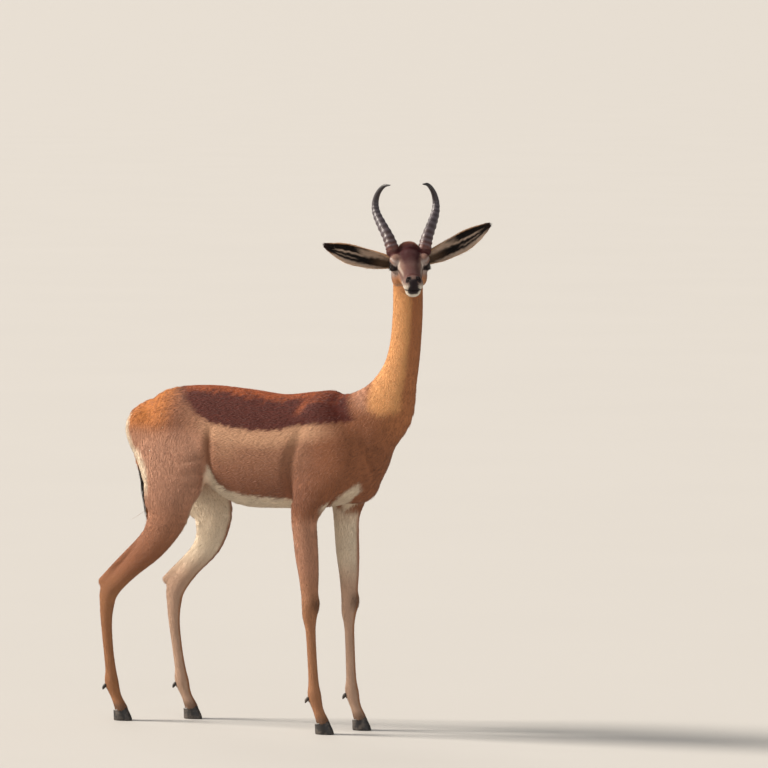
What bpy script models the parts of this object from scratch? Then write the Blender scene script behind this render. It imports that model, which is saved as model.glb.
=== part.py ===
"""A male gerenuk, the long-necked antelope, standing with its head turned to its right.

The animal is life size, in metres, +Z up, and stands on the floor at z = 0.  Its spine runs along X
with the chest towards +X, and its left side is +Y.

The flesh is one soft form.  Tubes follow the trunk, the neck, the head and the bones of the legs,
and balls stand for the muscles.  Their rough union is fused by a Remesh modifier, and then every
vertex settles on the surface where the tubes and balls blend into each other.  Thin cuts part the
form into head, neck, trunk and legs.  Horns, eyes, ears, hooves and the tail are pieces of their own.
"""

import math
from dataclasses import dataclass

import bmesh
import bpy
import numpy as np
from mathutils import Euler, Matrix, Vector

# ---------------------------------------------------------------- driving sizes
WITHERS = 0.96  # height of the withers over the floor, m
HEAD_CM = 0.01  # one head unit, m
HEAD_AT = (0.207, -0.004, 1.392)  # the poll, in withers heights
HEAD_TURN = (1.5, 2.0, -58.5)  # degrees: lean, nose down, heading seen from above

BODY = Matrix.Scale(WITHERS, 4)
HEAD = (
    Matrix.Translation(Vector(HEAD_AT) * WITHERS)
    @ Matrix.Rotation(math.radians(HEAD_TURN[2]), 4, "Z")
    @ Matrix.Rotation(math.radians(HEAD_TURN[1]), 4, "Y")
    @ Matrix.Rotation(math.radians(HEAD_TURN[0]), 4, "X")
    @ Matrix.Scale(HEAD_CM, 4)
)

GAP = 0.0003  # clearance between neighbouring pieces, m
SHELL_GAP = 2.5 * GAP  # clearance round a thinned skin, whose facets cut corners
FUSE_VOXEL = 0.006  # m
FLESH_TRIANGLES = 4900

FINISHES = {  # colour, roughness
    "coat": ((0.42, 0.20, 0.09), 0.8),
    "ear": ((0.36, 0.22, 0.14), 0.85),
    "horn": ((0.09, 0.07, 0.07), 0.5),
    "eye": ((0.02, 0.012, 0.01), 0.08),
    "hoof": ((0.03, 0.026, 0.024), 0.45),
    "tuft": ((0.02, 0.016, 0.014), 0.8),
}


# ---------------------------------------------------------------- scene and materials
def clear_scene():
    for thing in list(bpy.data.objects):
        bpy.data.objects.remove(thing, do_unlink=True)


def collection(name):
    made = bpy.data.collections.new(name)
    bpy.context.scene.collection.children.link(made)
    return made


def material(name):
    colour, roughness = FINISHES[name]
    made = bpy.data.materials.new(name)
    made.use_nodes = True
    shader = made.node_tree.nodes["Principled BSDF"]
    shader.inputs["Base Color"].default_value = (*colour, 1.0)
    shader.inputs["Roughness"].default_value = roughness
    shader.inputs["Metallic"].default_value = 0.0
    return made


def object_from(form, name, home, finish="coat"):
    """An object whose mesh is the bmesh form, which is used up."""
    mesh = bpy.data.meshes.new(name)
    bmesh.ops.recalc_face_normals(form, faces=form.faces)
    form.to_mesh(mesh)
    form.free()
    return object_with(mesh, name, home, finish)


def object_with(mesh, name, home, finish="coat"):
    mesh.materials.clear()
    mesh.materials.append(material(finish))
    made = bpy.data.objects.new(name, mesh)
    home.objects.link(made)
    return made


def apply_modifiers(thing):
    graph = bpy.context.evaluated_depsgraph_get()
    mesh = bpy.data.meshes.new_from_object(thing.evaluated_get(graph))
    thing.modifiers.clear()
    thing.data = mesh


def as_cutter(thing):
    thing.hide_render = True
    thing.display_type = "WIRE"
    return thing


def cut(thing, cutter, operation="DIFFERENCE"):
    tool = thing.modifiers.new("Cut", "BOOLEAN")
    tool.operation = operation
    tool.solver = "EXACT"
    tool.object = cutter
    apply_modifiers(thing)


def grown(thing, name, home, by=GAP):
    """A copy of the thing with its surface moved outwards, to cut the room that it needs."""
    made = as_cutter(bpy.data.objects.new(name, thing.data.copy()))
    home.objects.link(made)
    swell = made.modifiers.new("Clearance", "DISPLACE")
    swell.mid_level = 0.0
    swell.strength = by
    apply_modifiers(made)
    return made


def drop_shavings(thing):
    """Keeps the largest body of the thing, where a cut left slivers beside it."""
    form = bmesh.new()
    form.from_mesh(thing.data)
    left, islands = set(form.verts), []
    while left:
        island, edge_of_island = set(), [left.pop()]
        while edge_of_island:
            vert = edge_of_island.pop()
            island.add(vert)
            fresh = {edge.other_vert(vert) for edge in vert.link_edges} & left
            left -= fresh
            edge_of_island += fresh
        islands.append(island)
    islands.sort(key=len)
    for island in islands[:-1]:
        bmesh.ops.delete(form, geom=list(island), context="VERTS")
    form.to_mesh(thing.data)
    form.free()


# ---------------------------------------------------------------- soft forms
def curve_rows(rows, count):
    """Rows of numbers along a Catmull-Rom curve through the given rows."""
    rows = np.asarray(rows, float)
    padded = np.vstack([2 * rows[0] - rows[1], rows, 2 * rows[-1] - rows[-2]])
    place = np.linspace(0, len(rows) - 1, count)
    start = np.minimum(place.astype(int), len(rows) - 2)
    t = (place - start)[:, None]
    a, b, c, d = (padded[start + k] for k in range(4))
    return 0.5 * (2 * b + (c - a) * t + (2 * a - 5 * b + 4 * c - d) * t**2 + (3 * b - a - 3 * c + d) * t**3)


@dataclass
class Tube:
    """A form along a line of stations, each x, y, z, front, back, side.

    Front and back are the radii on the two sides of the centre, and front lies towards
    tangent x side_axis: the top of the trunk, the front of a leg, the nape of the neck.
    """

    space: Matrix
    stations: list
    blend: float
    side_axis: tuple = (0, 1, 0)
    per_station: int = 4

    def __post_init__(self):
        rows = curve_rows(self.stations, (len(self.stations) - 1) * self.per_station + 1)
        turn = np.array(self.space.to_3x3())
        scale = self.space.median_scale
        self.centre = rows[:, :3] @ turn.T + np.array(self.space.translation)
        self.radii = np.maximum(rows[:, 3:6], 1e-3) * scale
        self.reach = self.blend * scale
        tangent = np.gradient(self.centre, axis=0)
        self.tangent = tangent / np.linalg.norm(tangent, axis=1, keepdims=True)
        axis = turn @ np.array(self.side_axis, float)
        side = axis - self.tangent * (self.tangent @ axis)[:, None]
        self.side = side / np.linalg.norm(side, axis=1, keepdims=True)
        self.normal = np.cross(self.tangent, self.side)
        self.low = self.centre.min(0) - self.radii.max()
        self.high = self.centre.max(0) + self.radii.max()

    def distance(self, points):
        starts, steps = self.centre[:-1], np.diff(self.centre, axis=0)
        best = np.full(len(points), np.inf)
        segment, along = np.zeros(len(points), int), np.zeros(len(points))
        for i, step in enumerate(steps):
            t = np.clip((points - starts[i]) @ step / (step @ step), 0, 1)
            off = ((points - starts[i] - t[:, None] * step) ** 2).sum(1)
            closer = off < best
            best[closer], segment[closer], along[closer] = off[closer], i, t[closer]
        t = along[:, None]

        def mixed(values):
            return values[segment] * (1 - t) + values[segment + 1] * t

        radii, out = mixed(self.radii), points - mixed(self.centre)
        through = (out * mixed(self.normal)).sum(1)
        across = (out * mixed(self.side)).sum(1)
        beyond = (out * mixed(self.tangent)).sum(1)
        depth = np.where(through > 0, radii[:, 0], radii[:, 1])
        sizes = np.stack([depth, radii[:, 2], radii.min(1)])
        return ellipsoid_distance(np.stack([through, across, beyond]), sizes)

    def rough(self, form, ring=14):
        """Adds the tube's closed loft, with rounded ends, to the bmesh form."""
        last = len(self.centre) - 1
        rings = [(0, -1, angle) for angle in (75, 45)]
        rings += [(i, 0, 0) for i in range(last + 1)]
        rings += [(last, 1, angle) for angle in (45, 75)]
        loops = []
        for i, end, angle in rings:
            shrink = math.cos(math.radians(angle))
            bulge = end * math.sin(math.radians(angle)) * self.radii[i].min()
            centre = self.centre[i] + self.tangent[i] * bulge
            front, back, side = self.radii[i] * shrink
            loop = []
            for k in range(ring):
                c, s = math.cos(math.tau * k / ring), math.sin(math.tau * k / ring)
                depth = front if c > 0 else back
                loop.append(form.verts.new(centre + self.normal[i] * depth * c + self.side[i] * side * s))
            loops.append(loop)
        for a, b in zip(loops, loops[1:]):
            for k in range(ring):
                form.faces.new((a[k], a[(k + 1) % ring], b[(k + 1) % ring], b[k]))
        form.faces.new(loops[0][::-1])
        form.faces.new(loops[-1])


@dataclass
class Ball:
    """A muscle or a knob of bone: an ellipsoid turned by Euler angles in degrees."""

    space: Matrix
    centre: tuple
    radii: tuple
    blend: float
    turn: tuple = (0, 0, 0)

    def __post_init__(self):
        scale = self.space.median_scale
        spun = Euler([math.radians(a) for a in self.turn]).to_matrix().to_4x4()
        self.place = self.space @ Matrix.Translation(self.centre) @ spun
        self.axes = np.array(self.place.to_3x3()) / scale
        self.middle = np.array(self.place.translation)
        self.sizes = np.array(self.radii) * scale
        self.reach = self.blend * scale
        self.low, self.high = self.middle - self.sizes.max(), self.middle + self.sizes.max()

    def distance(self, points):
        return ellipsoid_distance(((points - self.middle) @ self.axes).T, self.sizes[:, None])

    def rough(self, form):
        place = self.place @ Matrix.Diagonal((*self.radii, 1))
        bmesh.ops.create_uvsphere(form, u_segments=16, v_segments=10, radius=1.0, matrix=place)


def ellipsoid_distance(out, sizes):
    """About how far a point at out from the middle is from an ellipsoid with these radii."""
    near = np.sqrt(((out / sizes) ** 2).sum(0))
    steep = np.sqrt(((out / sizes**2) ** 2).sum(0)) + 1e-9
    return near * (near - 1) / steep


def blended_distance(masses, points):
    """Signed distance to the surface where all the masses run into each other."""
    total = np.full(len(points), 1.0)
    for mass in masses:
        margin = mass.reach + 0.02
        near = np.all((points > mass.low - margin) & (points < mass.high + margin), axis=1)
        if not near.any():
            continue
        a, b = total[near], mass.distance(points[near])
        h = np.clip(0.5 + 0.5 * (a - b) / mass.reach, 0, 1)
        total[near] = a * (1 - h) + b * h - mass.reach * h * (1 - h)
    return total


def settle(mesh, masses, rounds=4, step=0.0006):
    """Moves every vertex of the mesh on to the blended surface."""
    points = np.empty(len(mesh.vertices) * 3)
    mesh.vertices.foreach_get("co", points)
    points = points.reshape(-1, 3)
    for _ in range(rounds):
        value = blended_distance(masses, points)
        slope = np.empty_like(points)
        for axis in range(3):
            ahead = points.copy()
            ahead[:, axis] += step
            slope[:, axis] = (blended_distance(masses, ahead) - value) / step
        steepness = (slope**2).sum(1, keepdims=True) + 1e-6
        points -= np.clip(value[:, None] * slope / steepness, -0.01, 0.01)
    mesh.vertices.foreach_set("co", points.ravel())
    mesh.update()


# ---------------------------------------------------------------- the animal's masses
# The body's places are in withers heights from the point of the floor under the withers, and the
# head's are in head units from the poll, with x towards the nose and z up.


def trunk_masses():
    trunk = Tube(BODY, [
        (-0.640, 0, 0.850, 0.108, 0.115, 0.072),
        (-0.570, 0, 0.850, 0.146, 0.135, 0.098),
        (-0.460, 0, 0.835, 0.171, 0.122, 0.100),
        (-0.330, 0, 0.815, 0.182, 0.164, 0.108),
        (-0.200, 0, 0.805, 0.180, 0.157, 0.110),
        (-0.080, 0, 0.810, 0.187, 0.156, 0.100),
        (0.000, 0, 0.820, 0.183, 0.145, 0.086),
        (0.055, 0, 0.832, 0.145, 0.122, 0.070),
        (0.098, 0, 0.835, 0.085, 0.088, 0.050),
    ], blend=0.02)
    breast = Ball(BODY, (0.048, 0, 0.745), (0.066, 0.050, 0.070), blend=0.03)
    return [trunk, breast]


def neck_masses():
    neck = Tube(BODY, [
        (-0.010, 0, 0.855, 0.110, 0.110, 0.070),
        (0.060, 0, 0.900, 0.104, 0.112, 0.066),
        (0.130, 0, 0.965, 0.080, 0.101, 0.056),
        (0.176, 0, 1.050, 0.056, 0.061, 0.044),
        (0.197, 0, 1.130, 0.048, 0.048, 0.040),
        (0.207, -0.002, 1.230, 0.046, 0.046, 0.038),
        (0.210, -0.006, 1.320, 0.045, 0.045, 0.038),
        (0.215, -0.012, 1.375, 0.038, 0.040, 0.035),
    ], blend=0.03)
    return [neck]


def head_masses():
    skull = Tube(HEAD, [
        (0.5, 0, -2.0, 3.0, 4.0, 3.3),
        (3.2, 0, -1.6, 4.6, 5.6, 4.3),
        (6.5, 0, -1.4, 5.0, 6.4, 4.8),
        (9.3, 0, -1.5, 4.4, 6.3, 4.3),
        (12.3, 0, -2.3, 3.4, 5.6, 3.4),
        (16.0, 0, -3.6, 3.3, 4.5, 2.95),
        (19.0, 0, -4.5, 3.1, 4.1, 2.65),
        (21.5, 0, -5.0, 2.7, 3.6, 2.6),
        (22.9, 0, -5.1, 2.1, 2.9, 2.3),
    ], blend=0.8)
    chin = Ball(HEAD, (20.8, 0, -7.4), (2.4, 2.1, 1.7), blend=0.6)
    nose = Ball(HEAD, (23.0, 0, -4.5), (1.7, 1.9, 1.5), blend=0.6)
    crown = Ball(HEAD, (5.4, 0, 3.2), (3.0, 2.8, 1.9), blend=1.2)
    masses = [skull, chin, nose, crown]
    for side in (1, -1):
        masses.append(Ball(HEAD, (9.0, side * 3.85, 0.2), (2.7, 1.7, 1.8), blend=0.8))  # brow
        masses.append(Ball(HEAD, (8.6, side * 3.9, -2.2), (2.6, 1.4, 1.3), blend=0.8))  # cheekbone
        masses.append(Ball(HEAD, (6.0, side * 3.4, -4.6), (3.4, 1.6, 2.8), blend=1.2))  # jaw muscle
        masses.append(Ball(HEAD, (6.3, side * 4.2, 2.2), (2.2, 2.1, 1.6), blend=1.0))  # root of the horn
        masses.append(Ball(HEAD, (21.9, side * 1.5, -5.4), (1.9, 1.3, 1.8), blend=0.6))  # upper lip
    return masses


def stride(table, height):
    """How far forward of the mean place a leg stands at this height."""
    heights, shifts = zip(*table)
    return float(np.interp(height, heights, shifts))


FRONT_STRIDE = [(0.0, 0.026), (0.4, 0.028), (0.64, 0.0275), (0.80, 0.010)]
FRONT_LEG = [  # mean x, distance from the middle plane, z, front, back, side
    (-0.030, 0.070, 0.770, 0.085, 0.080, 0.034),
    (-0.052, 0.078, 0.690, 0.060, 0.062, 0.036),
    (-0.064, 0.078, 0.630, 0.042, 0.044, 0.032),
    (-0.063, 0.076, 0.575, 0.039, 0.039, 0.029),
    (-0.059, 0.074, 0.520, 0.037, 0.037, 0.027),
    (-0.054, 0.072, 0.464, 0.032, 0.032, 0.024),
    (-0.052, 0.070, 0.412, 0.027, 0.027, 0.022),
    (-0.050, 0.070, 0.378, 0.029, 0.026, 0.0245),
    (-0.052, 0.069, 0.342, 0.022, 0.023, 0.0205),
    (-0.050, 0.068, 0.300, 0.0155, 0.0165, 0.0135),
    (-0.046, 0.067, 0.220, 0.0145, 0.0155, 0.0125),
    (-0.042, 0.066, 0.150, 0.0155, 0.0170, 0.0140),
    (-0.039, 0.066, 0.112, 0.0200, 0.0220, 0.0180),
    (-0.027, 0.066, 0.070, 0.0155, 0.0170, 0.0155),
    (-0.012, 0.066, 0.034, 0.0190, 0.0200, 0.0180),
]

HIND_STRIDE = [
    (0.0, 0.082), (0.12, 0.082), (0.38, 0.074), (0.55, 0.045), (0.66, 0.012), (0.76, -0.004), (0.86, 0.0),
]
HIND_LEG = [
    (-0.585, 0.052, 0.860, 0.120, 0.112, 0.050),
    (-0.535, 0.082, 0.750, 0.115, 0.104, 0.052),
    (-0.525, 0.092, 0.670, 0.082, 0.088, 0.045),
    (-0.518, 0.090, 0.605, 0.058, 0.070, 0.038),
    (-0.555, 0.083, 0.525, 0.043, 0.046, 0.029),
    (-0.622, 0.076, 0.450, 0.027, 0.032, 0.022),
    (-0.678, 0.071, 0.392, 0.028, 0.034, 0.0215),
    (-0.690, 0.069, 0.340, 0.021, 0.025, 0.018),
    (-0.692, 0.068, 0.285, 0.0175, 0.0185, 0.0145),
    (-0.684, 0.067, 0.210, 0.0155, 0.0165, 0.0130),
    (-0.675, 0.066, 0.150, 0.0165, 0.0180, 0.0145),
    (-0.670, 0.066, 0.112, 0.0205, 0.0230, 0.0185),
    (-0.655, 0.066, 0.070, 0.0155, 0.0170, 0.0155),
    (-0.638, 0.066, 0.034, 0.0195, 0.0200, 0.0185),
]


HEEL = [  # the tendon above the hock, as in HIND_LEG
    (-0.560, 0.082, 0.560, 0.008, 0.008, 0.010),
    (-0.618, 0.078, 0.505, 0.009, 0.010, 0.009),
    (-0.672, 0.074, 0.454, 0.010, 0.011, 0.010),
    (-0.711, 0.071, 0.412, 0.014, 0.014, 0.013),
]
HOCK_HEIGHT = 0.41
DEWCLAW_APART = 0.009  # from the middle of the fetlock
DEWCLAW_BEHIND = 0.015  # behind and under the fetlock's middle
DEWCLAW_RADII = (0.008, 0.006, 0.010)
DEWCLAW_SLANT = 25  # degrees


def leg_stations(table, strides, side, forward):
    return [(x + forward * stride(strides, z), side * y, z, *radii) for x, y, z, *radii in table]


def leg_masses():
    masses = []
    for side in (1, -1):
        front = leg_stations(FRONT_LEG, FRONT_STRIDE, side, side)
        hind = leg_stations(HIND_LEG, HIND_STRIDE, side, side)
        masses.append(Tube(BODY, front, blend=0.02))
        masses.append(Tube(BODY, hind, blend=0.02))
        shoulder = (-0.008 + side * 0.008, side * 0.060, 0.835)
        masses.append(Ball(BODY, shoulder, (0.068, 0.034, 0.140), 0.035, (0, -24, 0)))
        masses.append(Ball(BODY, (-0.655, side * 0.052, 0.872), (0.052, 0.036, 0.055), 0.03))
        shift = side * stride(HIND_STRIDE, HOCK_HEIGHT)
        heel = [(x + shift, side * y, z, *radii) for x, y, z, *radii in HEEL]
        masses.append(Tube(BODY, heel, blend=0.014))
        for table, strides in ((FRONT_LEG, FRONT_STRIDE), (HIND_LEG, HIND_STRIDE)):
            x, y, z, *_ = leg_stations(table, strides, side, side)[-3]
            for apart in (-DEWCLAW_APART, DEWCLAW_APART):
                place = (x - DEWCLAW_BEHIND, y + apart, z - DEWCLAW_BEHIND)
                masses.append(Ball(BODY, place, DEWCLAW_RADII, 0.005, (0, DEWCLAW_SLANT, 0)))
    return masses


def flesh_masses():
    return trunk_masses() + neck_masses() + head_masses() + leg_masses()


# ---------------------------------------------------------------- the flesh, and its cuts
def make_flesh(masses, home):
    form = bmesh.new()
    for mass in masses:
        mass.rough(form)
    flesh = object_from(form, "flesh", home)
    fuse = flesh.modifiers.new("Fuse", "REMESH")
    fuse.mode = "VOXEL"
    fuse.voxel_size = FUSE_VOXEL
    apply_modifiers(flesh)
    settle(flesh.data, masses)
    keep_head_fine(flesh)
    thin = flesh.modifiers.new("Thin", "DECIMATE")
    thin.ratio = FLESH_TRIANGLES / (2 * len(flesh.data.polygons))
    thin.vertex_group = "coarse"
    thin.vertex_group_factor = 0.02
    apply_modifiers(flesh)
    return flesh


UNDER_JAW = (10, 0, -10)  # in head units
HEAD_COARSENESS = 0.5  # against 1 for the rest of the flesh


def keep_head_fine(flesh):
    """Gives the head a low weight in the group that steers the Decimate modifier."""
    group = flesh.vertex_groups.new(name="coarse")
    height = (HEAD @ Vector(UNDER_JAW)).z
    for vertex in flesh.data.vertices:
        group.add([vertex.index], HEAD_COARSENESS if vertex.co.z > height else 1.0, "REPLACE")


# ---------------------------------------------------------------- pieces of their own
def loft(rings):
    """A closed bmesh skin over rings of places, all with the same number of places."""
    form = bmesh.new()
    loops = [[form.verts.new(place) for place in ring] for ring in rings]
    count = len(loops[0])
    for a, b in zip(loops, loops[1:]):
        for k in range(count):
            form.faces.new((a[k], a[(k + 1) % count], b[(k + 1) % count], b[k]))
    form.faces.new(loops[0][::-1])
    form.faces.new(loops[-1])
    return form


def ellipse_ring(middle, first, second, count):
    angles = [math.tau * k / count for k in range(count)]
    return [middle + first * math.cos(a) + second * math.sin(a) for a in angles]


HORN_LINE = [  # for the left horn, in head units: x, y, z, radius
    (6.7, 3.7, 1.4, 1.5),
    (6.0, 4.5, 3.4, 1.95),
    (4.4, 5.4, 6.2, 1.75),
    (1.4, 7.0, 9.6, 1.5),
    (-1.4, 8.2, 12.6, 1.25),
    (-2.4, 8.4, 15.4, 1.02),
    (-1.3, 7.6, 18.2, 0.78),
    (1.2, 6.1, 20.2, 0.52),
    (3.4, 4.5, 20.6, 0.14),
]
HORN_RINGS = 10
HORN_RINGED_PART = 0.62
RIDGE = 0.07  # height of a ring on the horn, as a part of its radius
HORN_SECTION = 8  # corners of its section
HORN_FLATNESS = 0.92  # its thickness against its width


def make_horn(name, side, home):
    """A lyre-shaped horn: a tapered tube with ridges round its lower part."""
    steps = 2 * HORN_RINGS + 8
    rows = curve_rows(HORN_LINE, steps + 1)
    places = [Vector((x, side * y, z)) for x, y, z, _ in rows]
    rings = []
    for i, place in enumerate(places):
        ahead = (places[min(i + 1, steps)] - places[max(i - 1, 0)]).normalized()
        across = ahead.cross(Vector((0, 1, 0))).normalized()
        radius = rows[i][3]
        ringed = i / steps < HORN_RINGED_PART and i % 2
        radius *= 1 + (RIDGE if ringed else -RIDGE / 2)
        other = ahead.cross(across) * radius * HORN_FLATNESS
        ring = ellipse_ring(place, across * radius, other, HORN_SECTION)
        rings.append([HEAD @ corner for corner in ring])
    return object_from(loft(rings), name, home, "horn")


EAR_THICKNESS = 0.5  # in head units
EAR_SWEEP = 1.3  # how far the tip is swept up from the ear's axis
EAR_ROWS = 11
EAR_COLUMNS = 6
EAR_SHAPE = [  # along the ear, half the width of its leaf, half the angle that it is rolled to
    (0.00, 3.8, 140),
    (0.16, 4.0, 114),
    (0.36, 3.8, 84),
    (0.58, 3.5, 62),
    (0.78, 2.6, 50),
    (0.92, 1.4, 42),
    (1.00, 0.5, 36),
]
EARS = {  # foot of the ear, length, the way it points, the way it opens
    "left": ((2.6, 3.6, -0.3), 21.2, (-0.10, 0.91, 0.36), (1, 0.10, -0.15)),
    "right": ((2.6, -3.6, -0.7), 20.0, (-0.10, -0.975, 0.185), (1, -0.15, -0.15)),
}


def make_ear(name, base, length, axis, opening, home):
    """A leaf rolled to a tube at its foot and open towards its tip, thickened by a modifier."""
    axis = Vector(axis).normalized()
    across = axis.cross(Vector(opening)).normalized()
    opening = across.cross(axis)
    form = bmesh.new()
    lines = []
    for share, half_width, angle in curve_rows(EAR_SHAPE, EAR_ROWS):
        roll = math.radians(angle)
        curl = half_width / roll
        line = []
        for k in range(EAR_COLUMNS + 1):
            turn = roll * (2 * k / EAR_COLUMNS - 1)
            place = Vector(base) + axis * length * share + across * curl * math.sin(turn)
            place += Vector((0, 0, EAR_SWEEP * share**3))
            place += opening * curl * (1 - math.cos(turn))
            line.append(form.verts.new(HEAD @ place))
        lines.append(line)
    for a, b in zip(lines, lines[1:]):
        for k in range(EAR_COLUMNS):
            form.faces.new((a[k], a[k + 1], b[k + 1], b[k]))
    ear = object_from(form, name, home, "ear")
    thick = ear.modifiers.new("Thickness", "SOLIDIFY")
    thick.thickness = EAR_THICKNESS * HEAD_CM
    thick.offset = 0.0
    apply_modifiers(ear)
    return ear


EYE_AT = (9.9, 3.85, -1.2)  # the left eye, in head units
EYE_RADIUS = 1.7


def make_eye(name, side, home):
    form = bmesh.new()
    x, y, z = EYE_AT
    place = HEAD @ Matrix.Translation((x, side * y, z))
    bmesh.ops.create_uvsphere(form, u_segments=12, v_segments=8, radius=EYE_RADIUS, matrix=place)
    return object_from(form, name, home, "eye")


HOOF_LENGTH = 0.054  # in withers heights, as are the next sizes
HOOF_WIDTH = 0.0185  # of one toe
HOOF_HEIGHT = 0.034
HOOF_AHEAD = 0.006  # how far its middle lies in front of the pastern
TOE_FROM_MIDDLE = 0.0012
HOOF_FOOT = [  # outline of one toe's sole, along and outwards, as parts of its length and width
    (-0.42, 0.06), (-0.47, 0.45), (-0.36, 0.85), (-0.05, 1.0), (0.22, 0.86), (0.44, 0.45), (0.53, 0.06),
]
HOOF_LEVELS = [  # height, size and backward lean of one toe's sections, as parts of its sizes
    (0.0, 1.0, 0.0), (0.12, 1.04, 0.0), (0.55, 0.90, -0.07), (1.0, 0.76, -0.17),
]
HOOF_RISE = 0.25  # how much higher the hoof's top is one length further forward


def make_hoof(name, ankle, outwards, home):
    """One toe of a cloven hoof, flat below, under the point of the floor at ankle."""
    rings = []
    for up, size, lean in HOOF_LEVELS:
        ring = []
        for along, out in HOOF_FOOT:
            x = ankle[0] + HOOF_LENGTH * (along * size + lean)
            y = ankle[1] + outwards * (TOE_FROM_MIDDLE + HOOF_WIDTH * out * (0.3 + 0.7 * size))
            height = HOOF_HEIGHT * up * (1 + HOOF_RISE * along)
            ring.append(BODY @ Vector((x, y, height)))
        rings.append(ring)
    return object_from(loft(rings), name, home, "hoof")


CORONET_BOX = 0.1  # side of the box that cuts a foot off above its hooves, m
CORONET_GAP = 1.1 * GAP


def coronet_cutter(name, x, y, home):
    """A box under the plane of a foot's two hoof tops, one clearance above them."""
    _, size, lean = HOOF_LEVELS[-1]
    shear = Matrix.Identity(4)
    shear[2][0] = HOOF_HEIGHT * HOOF_RISE / (HOOF_LENGTH * size)
    middle = BODY @ Vector((x + HOOF_LENGTH * lean, y, HOOF_HEIGHT))
    place = Matrix.Translation(middle + Vector((0, 0, CORONET_GAP - CORONET_BOX / 2))) @ shear
    return box_cutter(name, place, [CORONET_BOX] * 3, home)


TAIL_LINE = [
    (-0.680, 0, 0.925, 0.012, 0.018, 0.022),
    (-0.714, 0, 0.905, 0.010, 0.012, 0.014),
    (-0.722, 0, 0.860, 0.007, 0.008, 0.009),
    (-0.710, 0, 0.800, 0.006, 0.006, 0.007),
    (-0.692, 0, 0.740, 0.006, 0.006, 0.007),
    (-0.682, 0, 0.700, 0.012, 0.012, 0.012),
    (-0.674, 0, 0.655, 0.011, 0.012, 0.012),
    (-0.668, 0, 0.605, 0.003, 0.003, 0.003),
]
TUFT_TOP = 0.722  # height at which the tail's tuft begins, in withers heights


def make_tail(home):
    tail = Tube(BODY, TAIL_LINE, blend=0.01, per_station=2)
    form = bmesh.new()
    tail.rough(form, ring=8)
    return object_from(form, "tail", home)


# ---------------------------------------------------------------- cuts
def box_cutter(name, place, size, home):
    form = bmesh.new()
    bmesh.ops.create_cube(form, size=1.0, matrix=place @ Matrix.Diagonal((*size, 1)))
    return as_cutter(object_from(form, name, home))


def part_off(whole, name, place, size, home, cutters):
    """Parts off what the box holds as a new object, with the clearance between the two."""
    piece = object_with(whole.data.copy(), name, home)
    inner = box_cutter(name + "_inside", place, [s - GAP for s in size], cutters)
    outer = box_cutter(name + "_outside", place, [s + GAP for s in size], cutters)
    cut(piece, inner, "INTERSECT")
    cut(whole, outer)
    return piece


LEG_BOX_WIDTH = 0.25  # from the middle plane outwards
LEG_BOX_HEIGHT = 1.0


def leg_box(back, front, top, slope, side):
    """Place and size of a box round a leg, whose top rises outwards from the middle plane."""
    middle = ((back + front) / 2, side * LEG_BOX_WIDTH / 2, top - LEG_BOX_HEIGHT / 2)
    shear = Matrix.Identity(4)
    shear[2][1] = side * slope
    lift = Matrix.Translation((0, 0, slope * WITHERS * LEG_BOX_WIDTH / 2))
    size = [WITHERS * s for s in (front - back, LEG_BOX_WIDTH, LEG_BOX_HEIGHT)]
    return lift @ Matrix.Translation(BODY @ Vector(middle)) @ shear, size


def slanted_box(space, foot, turn, size):
    """Place of a cube whose bottom face, centred on foot, is turned about the side axis."""
    turned = Matrix.Rotation(math.radians(turn), 4, "Y") @ Matrix.Translation((0, 0, size / 2))
    unscaled = space @ Matrix.Scale(1 / space.median_scale, 4)
    return Matrix.Translation(space @ Vector(foot) - unscaled.translation) @ unscaled @ turned


NECK_ROOT = (0.090, 0, 0.890)  # a point of the plane between trunk and neck
NECK_ROOT_TURN = 60  # degrees from level
HEAD_ROOT = (1.2, 0, -5.4)  # a point of the plane between neck and head, in head units
HEAD_ROOT_TURN = 33
BIG = 0.9  # side of the boxes that part off neck and head, m

LEG_CUT_HEIGHT = 0.62  # the height whose stride shifts a leg's box
FRONT_CUT = (-0.124, 0.080, 0.600, 1.4)  # back, front, height at the middle plane, slope
HIND_CUT = (-0.800, -0.350, 0.652, 1.6)
TUFT_BOX = 0.3  # side of the box that parts off the tail's tuft


def stand_on_origin(home):
    """Shifts every piece so that the middle of the animal's box is over the origin, on the floor."""
    places = [corner.co for thing in home.objects for corner in thing.data.vertices]
    low = Vector([min(place[axis] for place in places) for axis in range(3)])
    high = Vector([max(place[axis] for place in places) for axis in range(3)])
    shift = Matrix.Translation((-(low.x + high.x) / 2, -(low.y + high.y) / 2, -low.z))
    for thing in home.objects:
        thing.data.transform(shift)


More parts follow.
